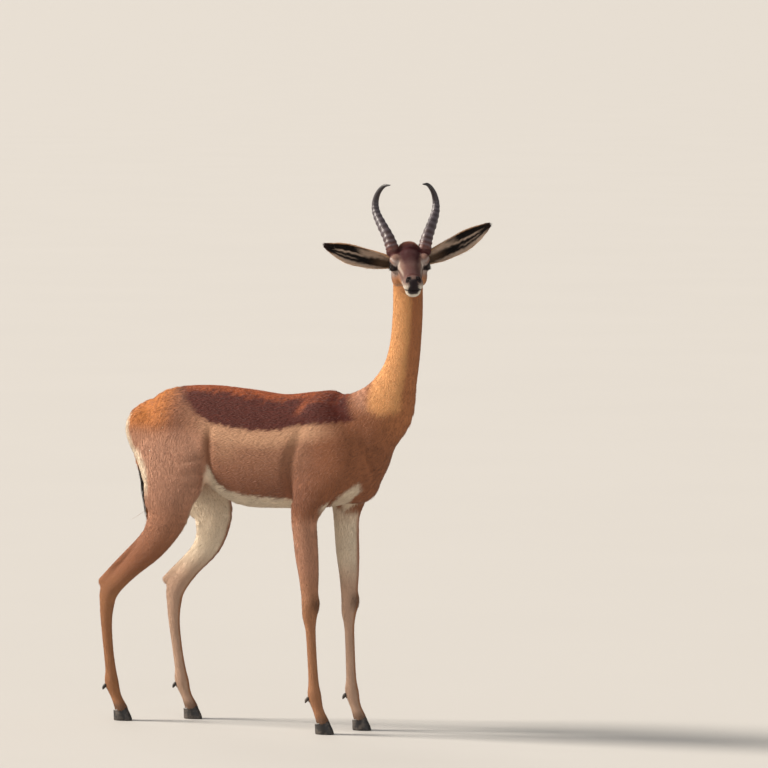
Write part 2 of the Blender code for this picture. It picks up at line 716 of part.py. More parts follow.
def main():
    clear_scene()
    gerenuk = collection("gerenuk")
    cutters = collection("cutters")
    flesh = make_flesh(flesh_masses(), gerenuk)
    flesh.name = "trunk"
    above_throat = slanted_box(HEAD, HEAD_ROOT, HEAD_ROOT_TURN, BIG)
    head = part_off(flesh, "head", above_throat, [BIG] * 3, gerenuk, cutters)
    above_withers = slanted_box(BODY, NECK_ROOT, NECK_ROOT_TURN, BIG)
    part_off(flesh, "neck", above_withers, [BIG] * 3, gerenuk, cutters)
    for side, word in ((1, "left"), (-1, "right")):
        for table, strides, edges, foot in (
            (FRONT_LEG, FRONT_STRIDE, FRONT_CUT, "front"),
            (HIND_LEG, HIND_STRIDE, HIND_CUT, "hind"),
        ):
            forward = side * stride(strides, LEG_CUT_HEIGHT)
            back, front, top, slope = edges
            place, size = leg_box(back + forward, front + forward, top, slope, side)
            leg = part_off(flesh, f"leg_{foot}_{word}", place, size, gerenuk, cutters)
            x, y, *_ = leg_stations(table, strides, side, side)[-1]
            for outwards, toe in ((1, "outer"), (-1, "inner")):
                make_hoof(f"hoof_{foot}_{word}_{toe}", (x + HOOF_AHEAD, y), outwards * side, gerenuk)
            cut(leg, coronet_cutter(f"coronet_{foot}_{word}", x + HOOF_AHEAD, y, cutters))
        eye = make_eye("eye_" + word, side, gerenuk)
        cut(head, grown(eye, "socket_" + word, cutters))
    shell = grown(head, "head_shell", cutters, by=SHELL_GAP)
    for side, word in ((1, "left"), (-1, "right")):
        horn = make_horn("horn_" + word, side, gerenuk)
        cut(horn, shell)
        ear = make_ear("ear_" + word, *EARS[word], gerenuk)
        cut(ear, shell)
        cut(ear, grown(horn, "horn_shell_" + word, cutters))
        drop_shavings(horn)
        drop_shavings(ear)
    tail = make_tail(gerenuk)
    cut(tail, grown(flesh, "rump_shell", cutters, by=SHELL_GAP))
    tuft_box = Matrix.Translation(BODY @ Vector((-0.7, 0, TUFT_TOP - TUFT_BOX / 2)))
    tuft = part_off(tail, "tail_tuft", tuft_box, [TUFT_BOX * WITHERS] * 3, gerenuk, cutters)
    tuft.data.materials[0] = material("tuft")
    stand_on_origin(gerenuk)


main()
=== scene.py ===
"""Looks of the male gerenuk: one hide over the flesh, its short coat, and the pieces that stay apart.

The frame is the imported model.  The anatomy of the solids is repeated here with finer forms, so the
hide follows them and lies inside them by the depth of the coat.  Body places are in withers heights
from the floor under the withers, head places in head units from the poll (x to the nose, z up).
"""

import logging
import math
from collections.abc import Callable
from dataclasses import dataclass
from enum import Enum

import bmesh
import bpy
import numpy as np
from mathutils import Euler, Matrix, Vector


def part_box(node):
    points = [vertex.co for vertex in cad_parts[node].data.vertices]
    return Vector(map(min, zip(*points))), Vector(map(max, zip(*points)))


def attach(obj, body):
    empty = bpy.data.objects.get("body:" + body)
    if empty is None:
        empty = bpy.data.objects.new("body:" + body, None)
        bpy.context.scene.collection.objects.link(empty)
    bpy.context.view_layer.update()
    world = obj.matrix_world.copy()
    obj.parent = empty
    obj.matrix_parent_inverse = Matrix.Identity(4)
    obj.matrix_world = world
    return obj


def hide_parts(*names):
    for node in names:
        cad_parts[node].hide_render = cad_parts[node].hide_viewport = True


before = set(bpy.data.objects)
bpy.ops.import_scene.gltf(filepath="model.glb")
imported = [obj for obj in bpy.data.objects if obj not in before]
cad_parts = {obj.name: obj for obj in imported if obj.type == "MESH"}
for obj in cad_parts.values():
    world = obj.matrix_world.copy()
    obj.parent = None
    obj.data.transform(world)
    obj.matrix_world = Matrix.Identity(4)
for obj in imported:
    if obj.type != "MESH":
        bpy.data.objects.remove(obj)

Array, BMesh = np.ndarray, bmesh.types.BMesh
Material, Mesh, Object = bpy.types.Material, bpy.types.Mesh, bpy.types.Object
Socket = bpy.types.NodeSocket

logging.basicConfig(level=logging.INFO, format="%(message)s")
log = logging.getLogger("gerenuk")

# ---------------------------------------------------------------- the two spaces
WITHERS = 0.96  # m
HEAD_CM = 0.01  # one head unit, m
HEAD_AT = (0.207, -0.004, 1.392)  # the poll, in withers heights
HEAD_TURN = (1.5, 2.0, -58.5)  # degrees: lean, nose down, heading seen from above
EYE_AT = (9.9, 3.85, -1.2)  # the middle of the left eye, in head units
EYE_RADIUS = 1.7
MUZZLE_FROM = 15  # x, in head units
BELOW_CHIN = (20, 0, -12)
NECK_FOOT = (0.09, 0.89)  # x and z, in withers heights
NECK_SLOPE = (0.866, 0.5)
FORE_STRIDE = 0.027  # how far the left foreleg stands ahead of the mean, and the right one behind
SIDES = {1: "left", -1: "right"}
BODY_ROW = "root"


def head_matrix() -> Matrix:
    """Returns the place of head units before the animal is shifted on to the origin."""
    lean, nod, heading = (math.radians(a) for a in HEAD_TURN)
    turn = Matrix.Rotation(heading, 4, "Z") @ Matrix.Rotation(nod, 4, "Y") @ Matrix.Rotation(lean, 4, "X")
    return Matrix.Translation(Vector(HEAD_AT) * WITHERS) @ turn @ Matrix.Scale(HEAD_CM, 4)


def frame_shift() -> Matrix:
    """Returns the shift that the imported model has, found from the middle of its left eye."""
    low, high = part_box("eye_left")
    return Matrix.Translation((low + high) / 2 - head_matrix() @ Vector(EYE_AT))


SHIFT = frame_shift()
BODY = SHIFT @ Matrix.Scale(WITHERS, 4)
HEAD = SHIFT @ head_matrix()


def in_space(points: Array, space: Matrix) -> Array:
    """Returns the points of the row frame in the units of one of the two spaces."""
    inverse = np.array(space.inverted())
    return points @ inverse[:3, :3].T + inverse[:3, 3]


def ramp(values: Array, low: float, high: float) -> Array:
    """Returns 0 below low and 1 above high, with a smooth rise between them."""
    t = np.clip((values - low) / (high - low), 0, 1)
    return t * t * (3 - 2 * t)


def fall(values: Array, low: float, high: float) -> Array:
    """Returns 1 below low and 0 above high, with a smooth fall between them."""
    return 1 - ramp(values, low, high)


def hump(values: Array, middle: float, width: float) -> Array:
    """Returns 1 at the middle and 0 from one width away on."""
    return 1 - ramp(np.abs(values - middle), 0, width)


def wobble(points: Array, size: float, seed: float) -> Array:
    """Returns an even, repeatable waviness from -1 to 1 with waves of about this size in metres."""
    total = np.zeros(len(points))
    for k in range(5):
        angle = seed + 2.4 * k
        way = np.array([math.cos(angle), math.sin(angle * 1.7), math.sin(angle) * math.cos(2 * angle)])
        total += np.sin(points @ way * (math.tau / size) * (1 + 0.37 * k) + 5.1 * k + seed)
    return total / 3


def gap(x: Array, side: Array, z: Array, place: tuple, squeeze: float = 1.0) -> Array:
    """Returns how far head places are from this one, with both sides of the head taken as one."""
    return np.sqrt((x - place[0]) ** 2 + (side - place[1]) ** 2 + (squeeze * (z - place[2])) ** 2)


def up_the_neck(x: Array, z: Array) -> Array:
    """Returns how far up the neck body places are, from below 0 on the trunk."""
    return NECK_SLOPE[0] * (x - NECK_FOOT[0]) + NECK_SLOPE[1] * (z - NECK_FOOT[1])


def profile(x: Array, rows: tuple) -> Array:
    """Returns the height at each x of a line through rows of x and height."""
    return np.interp(x, *zip(*rows))


def mirrored(rows: tuple, side: int) -> list:
    """Returns rows that start with x and y, for the left side or, with side -1, for the right one."""
    return [(x, side * y, *rest) for x, y, *rest in rows]


# ---------------------------------------------------------------- soft forms
def curve_rows(rows: list | tuple, count: int) -> Array:
    """Returns count rows of numbers along a Catmull-Rom curve through the given rows."""
    rows = np.asarray(rows, float)
    padded = np.vstack([2 * rows[0] - rows[1], rows, 2 * rows[-1] - rows[-2]])
    place = np.linspace(0, len(rows) - 1, count)
    start = np.minimum(place.astype(int), len(rows) - 2)
    t = (place - start)[:, None]
    a, b, c, d = (padded[start + k] for k in range(4))
    return 0.5 * (2 * b + (c - a) * t + (2 * a - 5 * b + 4 * c - d) * t**2 + (3 * b - a - 3 * c + d) * t**3)


def ellipsoid_distance(out: Array, sizes: Array) -> Array:
    """Returns about how far a point at out from the middle is from an ellipsoid of these radii."""
    near = np.sqrt(((out / sizes) ** 2).sum(0))
    steep = np.sqrt(((out / sizes**2) ** 2).sum(0)) + 1e-9
    return near * (near - 1) / steep


@dataclass
class Tube:
    """A form along a line of stations, each x, y, z, front, back, side.

    Front and back are the radii on the two sides of the centre, and front lies towards
    tangent x side_axis: the top of the trunk, the front of a leg, the nape of the neck.
    The coat lies along the tangent times lie.
    """

    space: Matrix
    stations: list | tuple
    blend: float
    lie: int = 1
    side_axis: tuple = (0, 1, 0)
    per_station: int = 4

    def __post_init__(self) -> None:
        """Works out the centre line, its radii and its axes in metres."""
        rows = curve_rows(self.stations, (len(self.stations) - 1) * self.per_station + 1)
        turn = np.array(self.space.to_3x3())
        scale = self.space.median_scale
        self.centre = rows[:, :3] @ turn.T + np.array(self.space.translation)
        self.radii = np.maximum(rows[:, 3:6], 1e-3) * scale
        self.reach = self.blend * scale
        tangent = np.gradient(self.centre, axis=0)
        self.tangent = tangent / np.linalg.norm(tangent, axis=1, keepdims=True)
        axis = turn @ np.array(self.side_axis, float)
        side = axis - self.tangent * (self.tangent @ axis)[:, None]
        self.side = side / np.linalg.norm(side, axis=1, keepdims=True)
        self.normal = np.cross(self.tangent, self.side)
        self.low = self.centre.min(0) - self.radii.max()
        self.high = self.centre.max(0) + self.radii.max()

    def nearest(self, points: Array) -> tuple[Array, Array]:
        """Returns the segment of the line nearest to each point, and the place along it."""
        starts, steps = self.centre[:-1], np.diff(self.centre, axis=0)
        best = np.full(len(points), np.inf)
        segment, along = np.zeros(len(points), int), np.zeros(len(points))
        for i, step in enumerate(steps):
            t = np.clip((points - starts[i]) @ step / (step @ step), 0, 1)
            off = ((points - starts[i] - t[:, None] * step) ** 2).sum(1)
            closer = off < best
            best[closer], segment[closer], along[closer] = off[closer], i, t[closer]
        return segment, along[:, None]

    def distance(self, points: Array) -> Array:
        """Returns the signed distance of each point from the tube, in metres."""
        segment, t = self.nearest(points)

        def mixed(values: Array) -> Array:
            """Returns the values at the nearest places of the line."""
            return values[segment] * (1 - t) + values[segment + 1] * t

        radii, out = mixed(self.radii), points - mixed(self.centre)
        through = (out * mixed(self.normal)).sum(1)
        across = (out * mixed(self.side)).sum(1)
        beyond = (out * mixed(self.tangent)).sum(1)
        depth = np.where(through > 0, radii[:, 0], radii[:, 1])
        return ellipsoid_distance(
            np.stack([through, across, beyond]), np.stack([depth, radii[:, 2], radii.min(1)])
        )

    def flow(self, points: Array) -> Array:
        """Returns the way in which the coat lies at each point."""
        segment, t = self.nearest(points)
        return self.lie * (self.tangent[segment] * (1 - t) + self.tangent[segment + 1] * t)

    def rough(self, form: BMesh, ring: int = 14) -> None:
        """Adds the tube's closed loft, with rounded ends, to the form."""
        last = len(self.centre) - 1
        rings = [(0, -1, angle) for angle in (75, 45)]
        rings += [(i, 0, 0) for i in range(last + 1)]
        rings += [(last, 1, angle) for angle in (45, 75)]
        loops = []
        for i, end, angle in rings:
            shrink = math.cos(math.radians(angle))
            bulge = end * math.sin(math.radians(angle)) * self.radii[i].min()
            centre = self.centre[i] + self.tangent[i] * bulge
            front, back, side = self.radii[i] * shrink
            loop = []
            for k in range(ring):
                c, s = math.cos(math.tau * k / ring), math.sin(math.tau * k / ring)
                depth = front if c > 0 else back
                loop.append(form.verts.new(centre + self.normal[i] * depth * c + self.side[i] * side * s))
            loops.append(loop)
        for a, b in zip(loops, loops[1:]):
            for k in range(ring):
                form.faces.new((a[k], a[(k + 1) % ring], b[(k + 1) % ring], b[k]))
        form.faces.new(loops[0][::-1])
        form.faces.new(loops[-1])


@dataclass
class Ball:
    """A muscle or a knob of bone: an ellipsoid turned by Euler angles in degrees."""

    space: Matrix
    centre: tuple
    radii: tuple
    blend: float
    turn: tuple = (0, 0, 0)

    def __post_init__(self) -> None:
        """Works out the middle, the axes and the radii in metres."""
        scale = self.space.median_scale
        spun = Euler([math.radians(a) for a in self.turn]).to_matrix().to_4x4()
        self.place = self.space @ Matrix.Translation(self.centre) @ spun
        self.axes = np.array(self.place.to_3x3()) / scale
        self.middle = np.array(self.place.translation)
        self.sizes = np.array(self.radii) * scale
        self.reach = self.blend * scale
        self.low, self.high = self.middle - self.sizes.max(), self.middle + self.sizes.max()

    def distance(self, points: Array) -> Array:
        """Returns the signed distance of each point from the ball, in metres."""
        return ellipsoid_distance(((points - self.middle) @ self.axes).T, self.sizes[:, None])

    def rough(self, form: BMesh) -> None:
        """Adds the ellipsoid to the form."""
        place = self.place @ Matrix.Diagonal((*self.radii, 1))
        bmesh.ops.create_uvsphere(form, u_segments=16, v_segments=10, radius=1.0, matrix=place)


# ---------------------------------------------------------------- the flesh
def stride(table: tuple, height: float) -> float:
    """Returns how far forward of the mean place a leg stands at this height."""
    return float(profile(height, table))


@dataclass
class TrunkForm:
    """The barrel, the breast and the neck, with the muscles that show under a short coat."""

    barrel: tuple = (
        (-0.640, 0, 0.850, 0.108, 0.115, 0.072),
        (-0.570, 0, 0.850, 0.146, 0.135, 0.098),
        (-0.460, 0, 0.835, 0.171, 0.122, 0.100),
        (-0.330, 0, 0.815, 0.182, 0.164, 0.108),
        (-0.200, 0, 0.805, 0.180, 0.157, 0.110),
        (-0.080, 0, 0.810, 0.187, 0.156, 0.100),
        (0.000, 0, 0.820, 0.183, 0.145, 0.086),
        (0.055, 0, 0.832, 0.145, 0.122, 0.070),
        (0.098, 0, 0.835, 0.085, 0.088, 0.050),
    )
    neck: tuple = (
        (-0.010, 0, 0.855, 0.110, 0.110, 0.070),
        (0.060, 0, 0.900, 0.104, 0.112, 0.066),
        (0.130, 0, 0.965, 0.080, 0.101, 0.056),
        (0.176, 0, 1.050, 0.056, 0.061, 0.044),
        (0.197, 0, 1.130, 0.048, 0.048, 0.040),
        (0.207, -0.002, 1.230, 0.046, 0.046, 0.038),
        (0.210, -0.006, 1.320, 0.045, 0.045, 0.038),
        (0.215, -0.012, 1.375, 0.038, 0.040, 0.035),
    )
    breast: tuple = ((0.048, 0, 0.745), (0.066, 0.050, 0.070), 0.03)
    behind_shoulder: tuple = (  # a groove, like the next two: x, y, z, radius
        (-0.070, 0.106, 0.920, 0.010), (-0.088, 0.113, 0.870, 0.013), (-0.108, 0.117, 0.820, 0.015),
        (-0.120, 0.116, 0.770, 0.015), (-0.124, 0.108, 0.725, 0.014), (-0.122, 0.094, 0.690, 0.010),
    )
    flank_fold: tuple = (
        (-0.398, 0.108, 0.890, 0.008), (-0.402, 0.112, 0.850, 0.011), (-0.404, 0.112, 0.810, 0.012),
        (-0.405, 0.107, 0.775, 0.012), (-0.408, 0.098, 0.745, 0.011), (-0.414, 0.084, 0.715, 0.010),
    )
    windpipe: tuple = (
        (0.262, 0.036, 1.300, 0.007), (0.254, 0.038, 1.180, 0.008),
        (0.240, 0.046, 1.060, 0.009), (0.222, 0.056, 0.970, 0.008),
    )
    groove_breadth: float = 1.3

    def masses(self) -> list:
        """Returns the masses of trunk and neck."""
        return [
            Tube(BODY, self.barrel, blend=0.02, lie=-1),
            Tube(BODY, self.neck, blend=0.03, lie=-1),
            Ball(BODY, *self.breast),
        ]

    def cuts(self) -> list:
        """Returns the shallow grooves between the muscles, on both sides."""
        found = []
        grooves = (  # table, blend, and how far the left one lies ahead of the mean
            (self.behind_shoulder, 0.018, 0.016), (self.flank_fold, 0.014, 0.0), (self.windpipe, 0.012, 0.0),
        )
        for side in SIDES:
            for table, blend, stagger in grooves:
                stations = [
                    (x + side * stagger, side * y, z, size, size, self.groove_breadth * size)
                    for x, y, z, size in table
                ]
                found.append(Tube(BODY, stations, blend=blend))
        return found


@dataclass
class LegForm:
    """The four legs: the left ones stand further forward by the stride."""

    front_stride: tuple = (
        (0.0, 0.026), (0.4, 0.028), (0.64, 0.0275), (0.80, 0.010),
    )
    front: tuple = (
        (-0.030, 0.070, 0.770, 0.085, 0.080, 0.034),
        (-0.052, 0.078, 0.690, 0.060, 0.062, 0.036),
        (-0.064, 0.078, 0.630, 0.042, 0.044, 0.032),
        (-0.063, 0.076, 0.575, 0.039, 0.039, 0.029),
        (-0.059, 0.074, 0.520, 0.037, 0.037, 0.027),
        (-0.054, 0.072, 0.464, 0.032, 0.032, 0.024),
        (-0.052, 0.070, 0.412, 0.027, 0.027, 0.022),
        (-0.050, 0.070, 0.378, 0.029, 0.026, 0.0245),
        (-0.052, 0.069, 0.342, 0.022, 0.023, 0.0205),
        (-0.050, 0.068, 0.300, 0.0155, 0.0165, 0.0135),
        (-0.046, 0.067, 0.220, 0.0145, 0.0155, 0.0125),
        (-0.042, 0.066, 0.150, 0.0155, 0.0170, 0.0140),
        (-0.039, 0.066, 0.112, 0.0200, 0.0220, 0.0180),
        (-0.027, 0.066, 0.070, 0.0155, 0.0170, 0.0155),
        (-0.012, 0.066, 0.034, 0.0190, 0.0200, 0.0180),
    )
    hind_stride: tuple = (
        (0.0, 0.082), (0.12, 0.082), (0.38, 0.074), (0.55, 0.045),
        (0.66, 0.012), (0.76, -0.004), (0.86, 0.0),
    )
    hind: tuple = (
        (-0.585, 0.052, 0.860, 0.120, 0.112, 0.050),
        (-0.535, 0.082, 0.750, 0.115, 0.104, 0.052),
        (-0.525, 0.092, 0.670, 0.082, 0.088, 0.045),
        (-0.518, 0.090, 0.605, 0.058, 0.070, 0.038),
        (-0.555, 0.083, 0.525, 0.043, 0.046, 0.029),
        (-0.622, 0.076, 0.450, 0.027, 0.032, 0.022),
        (-0.678, 0.071, 0.392, 0.028, 0.034, 0.0215),
        (-0.690, 0.069, 0.340, 0.021, 0.025, 0.018),
        (-0.692, 0.068, 0.285, 0.0175, 0.0185, 0.0145),
        (-0.684, 0.067, 0.210, 0.0155, 0.0165, 0.0130),
        (-0.675, 0.066, 0.150, 0.0165, 0.0180, 0.0145),
        (-0.670, 0.066, 0.112, 0.0205, 0.0230, 0.0185),
        (-0.655, 0.066, 0.070, 0.0155, 0.0170, 0.0155),
        (-0.638, 0.066, 0.034, 0.0195, 0.0200, 0.0185),
    )
    heel: tuple = (
        (-0.560, 0.082, 0.560, 0.008, 0.008, 0.010),
        (-0.618, 0.078, 0.505, 0.009, 0.010, 0.009),
        (-0.672, 0.074, 0.454, 0.010, 0.011, 0.010),
        (-0.711, 0.071, 0.412, 0.014, 0.014, 0.013),
    )
    heel_height: float = 0.41
    shoulder_blade: tuple = ((0.068, 0.034, 0.140), 0.035, (0, -24, 0))  # radii, blend, turn
    seat_bone: tuple = ((-0.655, 0.052, 0.872), (0.052, 0.036, 0.055), 0.03)
    blend: float = 0.02

    def stations(self, front: bool, side: int) -> list:
        """Returns the stations of one leg.

        Args:
            front: whether it is a foreleg.
            side: 1 for the left leg and -1 for the right one.
        """
        table, strides = (self.front, self.front_stride) if front else (self.hind, self.hind_stride)
        return [(x + side * stride(strides, z), side * y, z, *radii) for x, y, z, *radii in table]

    def masses(self) -> list:
        """Returns the masses of the four legs."""
        found = []
        for side in SIDES:
            for front in (True, False):
                found.append(Tube(BODY, self.stations(front, side), blend=self.blend))
            shoulder = (-0.008 + side * 0.008, side * 0.060, 0.835)
            found.append(Ball(BODY, shoulder, *self.shoulder_blade))
            (x, y, z), *size = self.seat_bone
            found.append(Ball(BODY, (x, side * y, z), *size))
            shift = side * stride(self.hind_stride, self.heel_height)
            heel = [(x + shift, side * y, z, *radii) for x, y, z, *radii in self.heel]
            found.append(Tube(BODY, heel, blend=0.014))
        return found


@dataclass
class HeadForm:
    """The skull with its muscles, lips and lids, and the cuts that open eyes, nose and mouth."""

    skull: tuple = (
        (0.5, 0, -2.0, 3.0, 4.0, 3.3),
        (3.2, 0, -1.6, 4.6, 5.6, 4.3),
        (6.5, 0, -1.4, 5.0, 6.4, 4.8),
        (9.3, 0, -1.5, 4.4, 6.3, 4.3),
        (12.3, 0, -2.3, 3.4, 5.6, 3.4),
        (16.0, 0, -3.6, 3.3, 4.5, 2.95),
        (19.0, 0, -4.5, 3.1, 4.1, 2.65),
        (21.5, 0, -5.0, 2.7, 3.6, 2.6),
        (22.9, 0, -5.1, 2.1, 2.9, 2.3),
    )
    middle_balls: tuple = (
        ((20.8, 0, -7.4), (2.4, 2.1, 1.7), 0.6),  # chin
        ((23.0, 0, -4.5), (1.7, 1.9, 1.5), 0.6),  # nose
        ((5.4, 0, 3.2), (3.0, 2.8, 1.9), 1.2),  # crown
    )
    side_balls: tuple = (
        ((9.0, 3.85, 0.2), (2.7, 1.7, 1.8), 0.8),  # brow
        ((8.6, 3.9, -2.2), (2.6, 1.4, 1.3), 0.8),  # cheekbone
        ((6.0, 3.4, -4.6), (3.4, 1.6, 2.8), 1.2),  # jaw muscle
        ((6.3, 4.2, 2.2), (2.2, 2.1, 1.6), 1.0),  # root of the horn
        ((21.9, 1.5, -5.4), (1.9, 1.3, 1.8), 0.6),  # upper lip
        ((23.5, 1.45, -3.9), (1.0, 0.62, 0.8), 0.35),  # wing of the nostril
    )
    ear_roots: tuple = ((2.2, 3.9, 0.1), (2.2, -3.9, -0.4))
    ear_root_radii: tuple = (1.8, 1.3, 1.8)
    lid_thickness: float = 0.30
    nostril: tuple = ((24.1, 1.28, -3.95), (0.75, 0.34, 0.50), 0.12)
    nostril_turn: tuple = (0, -20, 28)  # degrees, the last one to the side
    nostril_fold: tuple = (
        (23.95, 1.45, -3.60, 0.20, 0.20, 0.20),
        (23.45, 1.98, -3.35, 0.16, 0.16, 0.16),
        (22.85, 2.20, -3.55, 0.10, 0.10, 0.10),
    )
    tear_line: tuple = (
        (12.0, 4.05, -2.35, 0.16, 0.16, 0.16),
        (13.2, 3.62, -2.85, 0.22, 0.22, 0.24),
        (14.6, 3.25, -3.30, 0.12, 0.12, 0.12),
    )

    def masses(self) -> list:
        """Returns the masses of the head."""
        found = [Tube(HEAD, self.skull, blend=0.8, lie=-1)]
        found += [Ball(HEAD, *ball) for ball in self.middle_balls]
        for side in SIDES:
            for (x, y, z), radii, blend in self.side_balls:
                found.append(Ball(HEAD, (x, side * y, z), radii, blend))
            x, y, z = EYE_AT
            lid = EYE_RADIUS + self.lid_thickness
            found.append(Ball(HEAD, (x, side * y, z), (lid, lid, lid), 0.45))
        found += [Ball(HEAD, centre, self.ear_root_radii, 1.0) for centre in self.ear_roots]
        return found

    def cuts(self) -> list:
        """Returns what is cut from the head here: lids, nostrils, the folds beside them and tear lines;
        LipLines cuts the mouth and the lip cleft.
        """
        found = []
        (x, y, z), radii, blend = self.nostril
        roll, nod, outwards = self.nostril_turn
        for side in SIDES:
            found.append(LidOpening(side))
            found.append(Ball(HEAD, (x, side * y, z), radii, blend, (roll, nod, side * outwards)))
            found.append(Tube(HEAD, mirrored(self.nostril_fold, side), blend=0.12))
            found.append(Tube(HEAD, mirrored(self.tear_line, side), blend=0.25))
        return found


@dataclass
class LidOpening:
    """The almond between the lids, through which the eyeball shows."""

    side: int
    gaze: tuple = (0.34, 0.93, -0.05)
    half_length: float = 1.50
    upper: float = 0.98
    lower: float = 0.78
    tilt: float = -14.0  # degrees: the front corner lies lower
    floor: float = 0.28  # how far below the eyeball's surface the cut ends
    reach: float = 0.0006  # m, over which the cut's edge is soft
    span: float = 2.4  # how far the cut is felt, in eye radii

    def __post_init__(self) -> None:
        """Works out the eye's own axes, with x outwards, y to the nose and z up."""
        x, y, z = EYE_AT
        out = Vector((self.gaze[0], self.side * self.gaze[1], self.gaze[2])).normalized()
        ahead = Matrix.Rotation(math.radians(-self.tilt), 3, "Y") @ Vector((1, 0, 0))
        ahead = (ahead - out * ahead.dot(out)).normalized()
        up = out.cross(ahead) * self.side
        turn = Matrix((out, ahead, up)).transposed().to_4x4()
        self.place = HEAD @ Matrix.Translation((x, self.side * y, z)) @ turn
        middle = np.array(self.place.translation)
        span = self.span * EYE_RADIUS * HEAD_CM
        self.low, self.high = middle - span, middle + span

    def distance(self, points: Array) -> Array:
        """Returns the signed distance of each point from the opening, in metres."""
        out, ahead, up = in_space(points, self.place).T
        found = (EYE_RADIUS - self.floor) - np.sqrt(out**2 + ahead**2 + up**2)
        for height, way in ((self.upper, -1), (self.lower, 1)):
            radius = (height**2 + self.half_length**2) / (2 * height)
            found = np.maximum(found, np.hypot(ahead, up - way * (radius - height)) - radius)
        return np.maximum(found, -out) * HEAD_CM


@dataclass
class LipLines:
    """The mouth's line round the muzzle and the cleft of the upper lip, as thin grooves."""

    mouth: tuple = ((16.6, -6.0), (19.0, -6.55), (22.0, -6.85), (25.0, -6.95))
    half_width: float = 0.075
    depth: float = 0.30
    cleft: tuple = (23.2, -6.8, -4.6)  # from this far forward, lowest and highest place
    cleft_half_width: float = 0.05
    fade_in: float = 1.5  # over which the mouth's line opens at its corner
    reach: float = 0.0008  # m, over which the grooves' edges are soft

    def distance(self, points: Array, flesh: Array) -> Array:
        """Returns the signed distance of each point from the grooves.

        Args:
            points: places in the row frame.
            flesh: the signed distance of each place from the flesh.
        """
        x, y, z = in_space(points, HEAD).T
        corner = self.mouth[0][0]
        inner = -flesh / HEAD_CM - self.depth
        fade = self.half_width * np.clip((x - corner) / self.fade_in, -1, 1)
        mouth = np.maximum(self.off_mouth(x, z) - fade, inner)
        front, bottom, top = self.cleft
        sides = np.abs(y) - self.cleft_half_width
        cleft = np.maximum(sides, np.maximum(front - x, np.maximum(bottom - z, z - top)))
        cleft = np.maximum(cleft, inner + 0.1)
        return np.minimum(np.maximum(mouth, corner - x), cleft) * HEAD_CM

    def off_mouth(self, x: Array, z: Array) -> Array:
        """Returns how far above or below the mouth's line head places are."""
        return np.abs(z - profile(x, self.mouth))


@dataclass
class TailForm:
    """The thin tail, whose lower part is the core of its tuft."""

    line: tuple = (
        (-0.680, 0, 0.925, 0.012, 0.018, 0.022),
        (-0.714, 0, 0.905, 0.010, 0.012, 0.014),
        (-0.722, 0, 0.860, 0.007, 0.008, 0.009),
        (-0.710, 0, 0.800, 0.006, 0.006, 0.007),
        (-0.692, 0, 0.740, 0.006, 0.006, 0.007),
        (-0.682, 0, 0.700, 0.007, 0.007, 0.007),
        (-0.674, 0, 0.655, 0.006, 0.006, 0.006),
        (-0.669, 0, 0.625, 0.004, 0.004, 0.004),
    )

    def masses(self) -> list:
        """Returns the tail's one mass."""
        return [Tube(BODY, self.line, blend=0.01)]


class Part(Enum):
    """The parts of the hide, each with a coat piece of its own."""

    HEAD_LEFT = 0
    HEAD_RIGHT = 1
    NECK = 2
    TRUNK_FRONT = 3
    TRUNK_BACK = 4
    FORELEGS = 5
    HIND_LEGS_UPPER = 6
    HIND_LEGS_LOWER = 7
    TAIL_TUFT = 8


SETTLE_STEP = 0.0004  # m, between the two distances that give a slope
SETTLE_LIMIT = 0.006  # m, the longest move of a point in one round


class Flesh:
    """All the masses and cuts, and the surface on which they blend into each other."""

    def __init__(self) -> None:
        """Gathers the masses part by part."""
        self.trunk = TrunkForm()
        self.legs = LegForm()
        self.head = HeadForm()
        self.tail = TailForm()
        self.lips = LipLines()
        self.masses = self.trunk.masses() + self.legs.masses() + self.head.masses() + self.tail.masses()
        self.cuts = self.trunk.cuts() + self.head.cuts()

    def distance(self, points: Array, fine: bool = True) -> Array:
        """Returns the signed distance of each point from the flesh's surface.

        Args:
            points: places in the row frame, in metres.
            fine: whether the cuts are made too.
        """
        total = np.full(len(points), 1.0)
        for mass in self.masses:
            near = self._near(points, mass, 0.02)
            if near.any():
                a, b = total[near], mass.distance(points[near])
                h = np.clip(0.5 + 0.5 * (a - b) / mass.reach, 0, 1)
                total[near] = a * (1 - h) + b * h - mass.reach * h * (1 - h)
        if not fine:
            return total
        for cut in self.cuts:
            near = self._near(points, cut, 0.01)
            if near.any():
                total[near] = carved(total[near], cut.distance(points[near]), cut.reach)
        near = in_space(points, HEAD)[:, 0] > MUZZLE_FROM
        near &= points[:, 2] > (HEAD @ Vector(BELOW_CHIN)).z
        if near.any():
            grooves = self.lips.distance(points[near], total[near])
            total[near] = carved(total[near], grooves, self.lips.reach)
        return total

    @staticmethod
    def _near(points: Array, mass: object, more: float) -> Array:
        """Returns which points lie close enough to feel this mass or cut."""
        margin = mass.reach + more
        return np.all((points > mass.low - margin) & (points < mass.high + margin), axis=1)

    def settle(self, points: Array, rounds: int, fine: bool = True) -> Array:
        """Returns the points moved on to the surface that lies one coat's depth inside the flesh."""
        depth = coat_depth(points)
        for _ in range(rounds):
            value = self.distance(points, fine)
            slope = np.empty_like(points)
            for axis in range(3):
                ahead = points.copy()
                ahead[:, axis] += SETTLE_STEP
                slope[:, axis] = (self.distance(ahead, fine) - value) / SETTLE_STEP
            steepness = (slope**2).sum(1, keepdims=True) + 0.05
            move = (value + depth)[:, None] * slope / steepness
            points = points - np.clip(move, -SETTLE_LIMIT, SETTLE_LIMIT)
        return points


def carved(total: Array, cut: Array, reach: float) -> Array:
    """Returns the distance from the flesh once a cut is taken from it, with a soft edge."""
    a, b = -total, cut
    h = np.clip(0.5 + 0.5 * (a - b) / reach, 0, 1)
    return -(a * (1 - h) + b * h - reach * h * (1 - h))


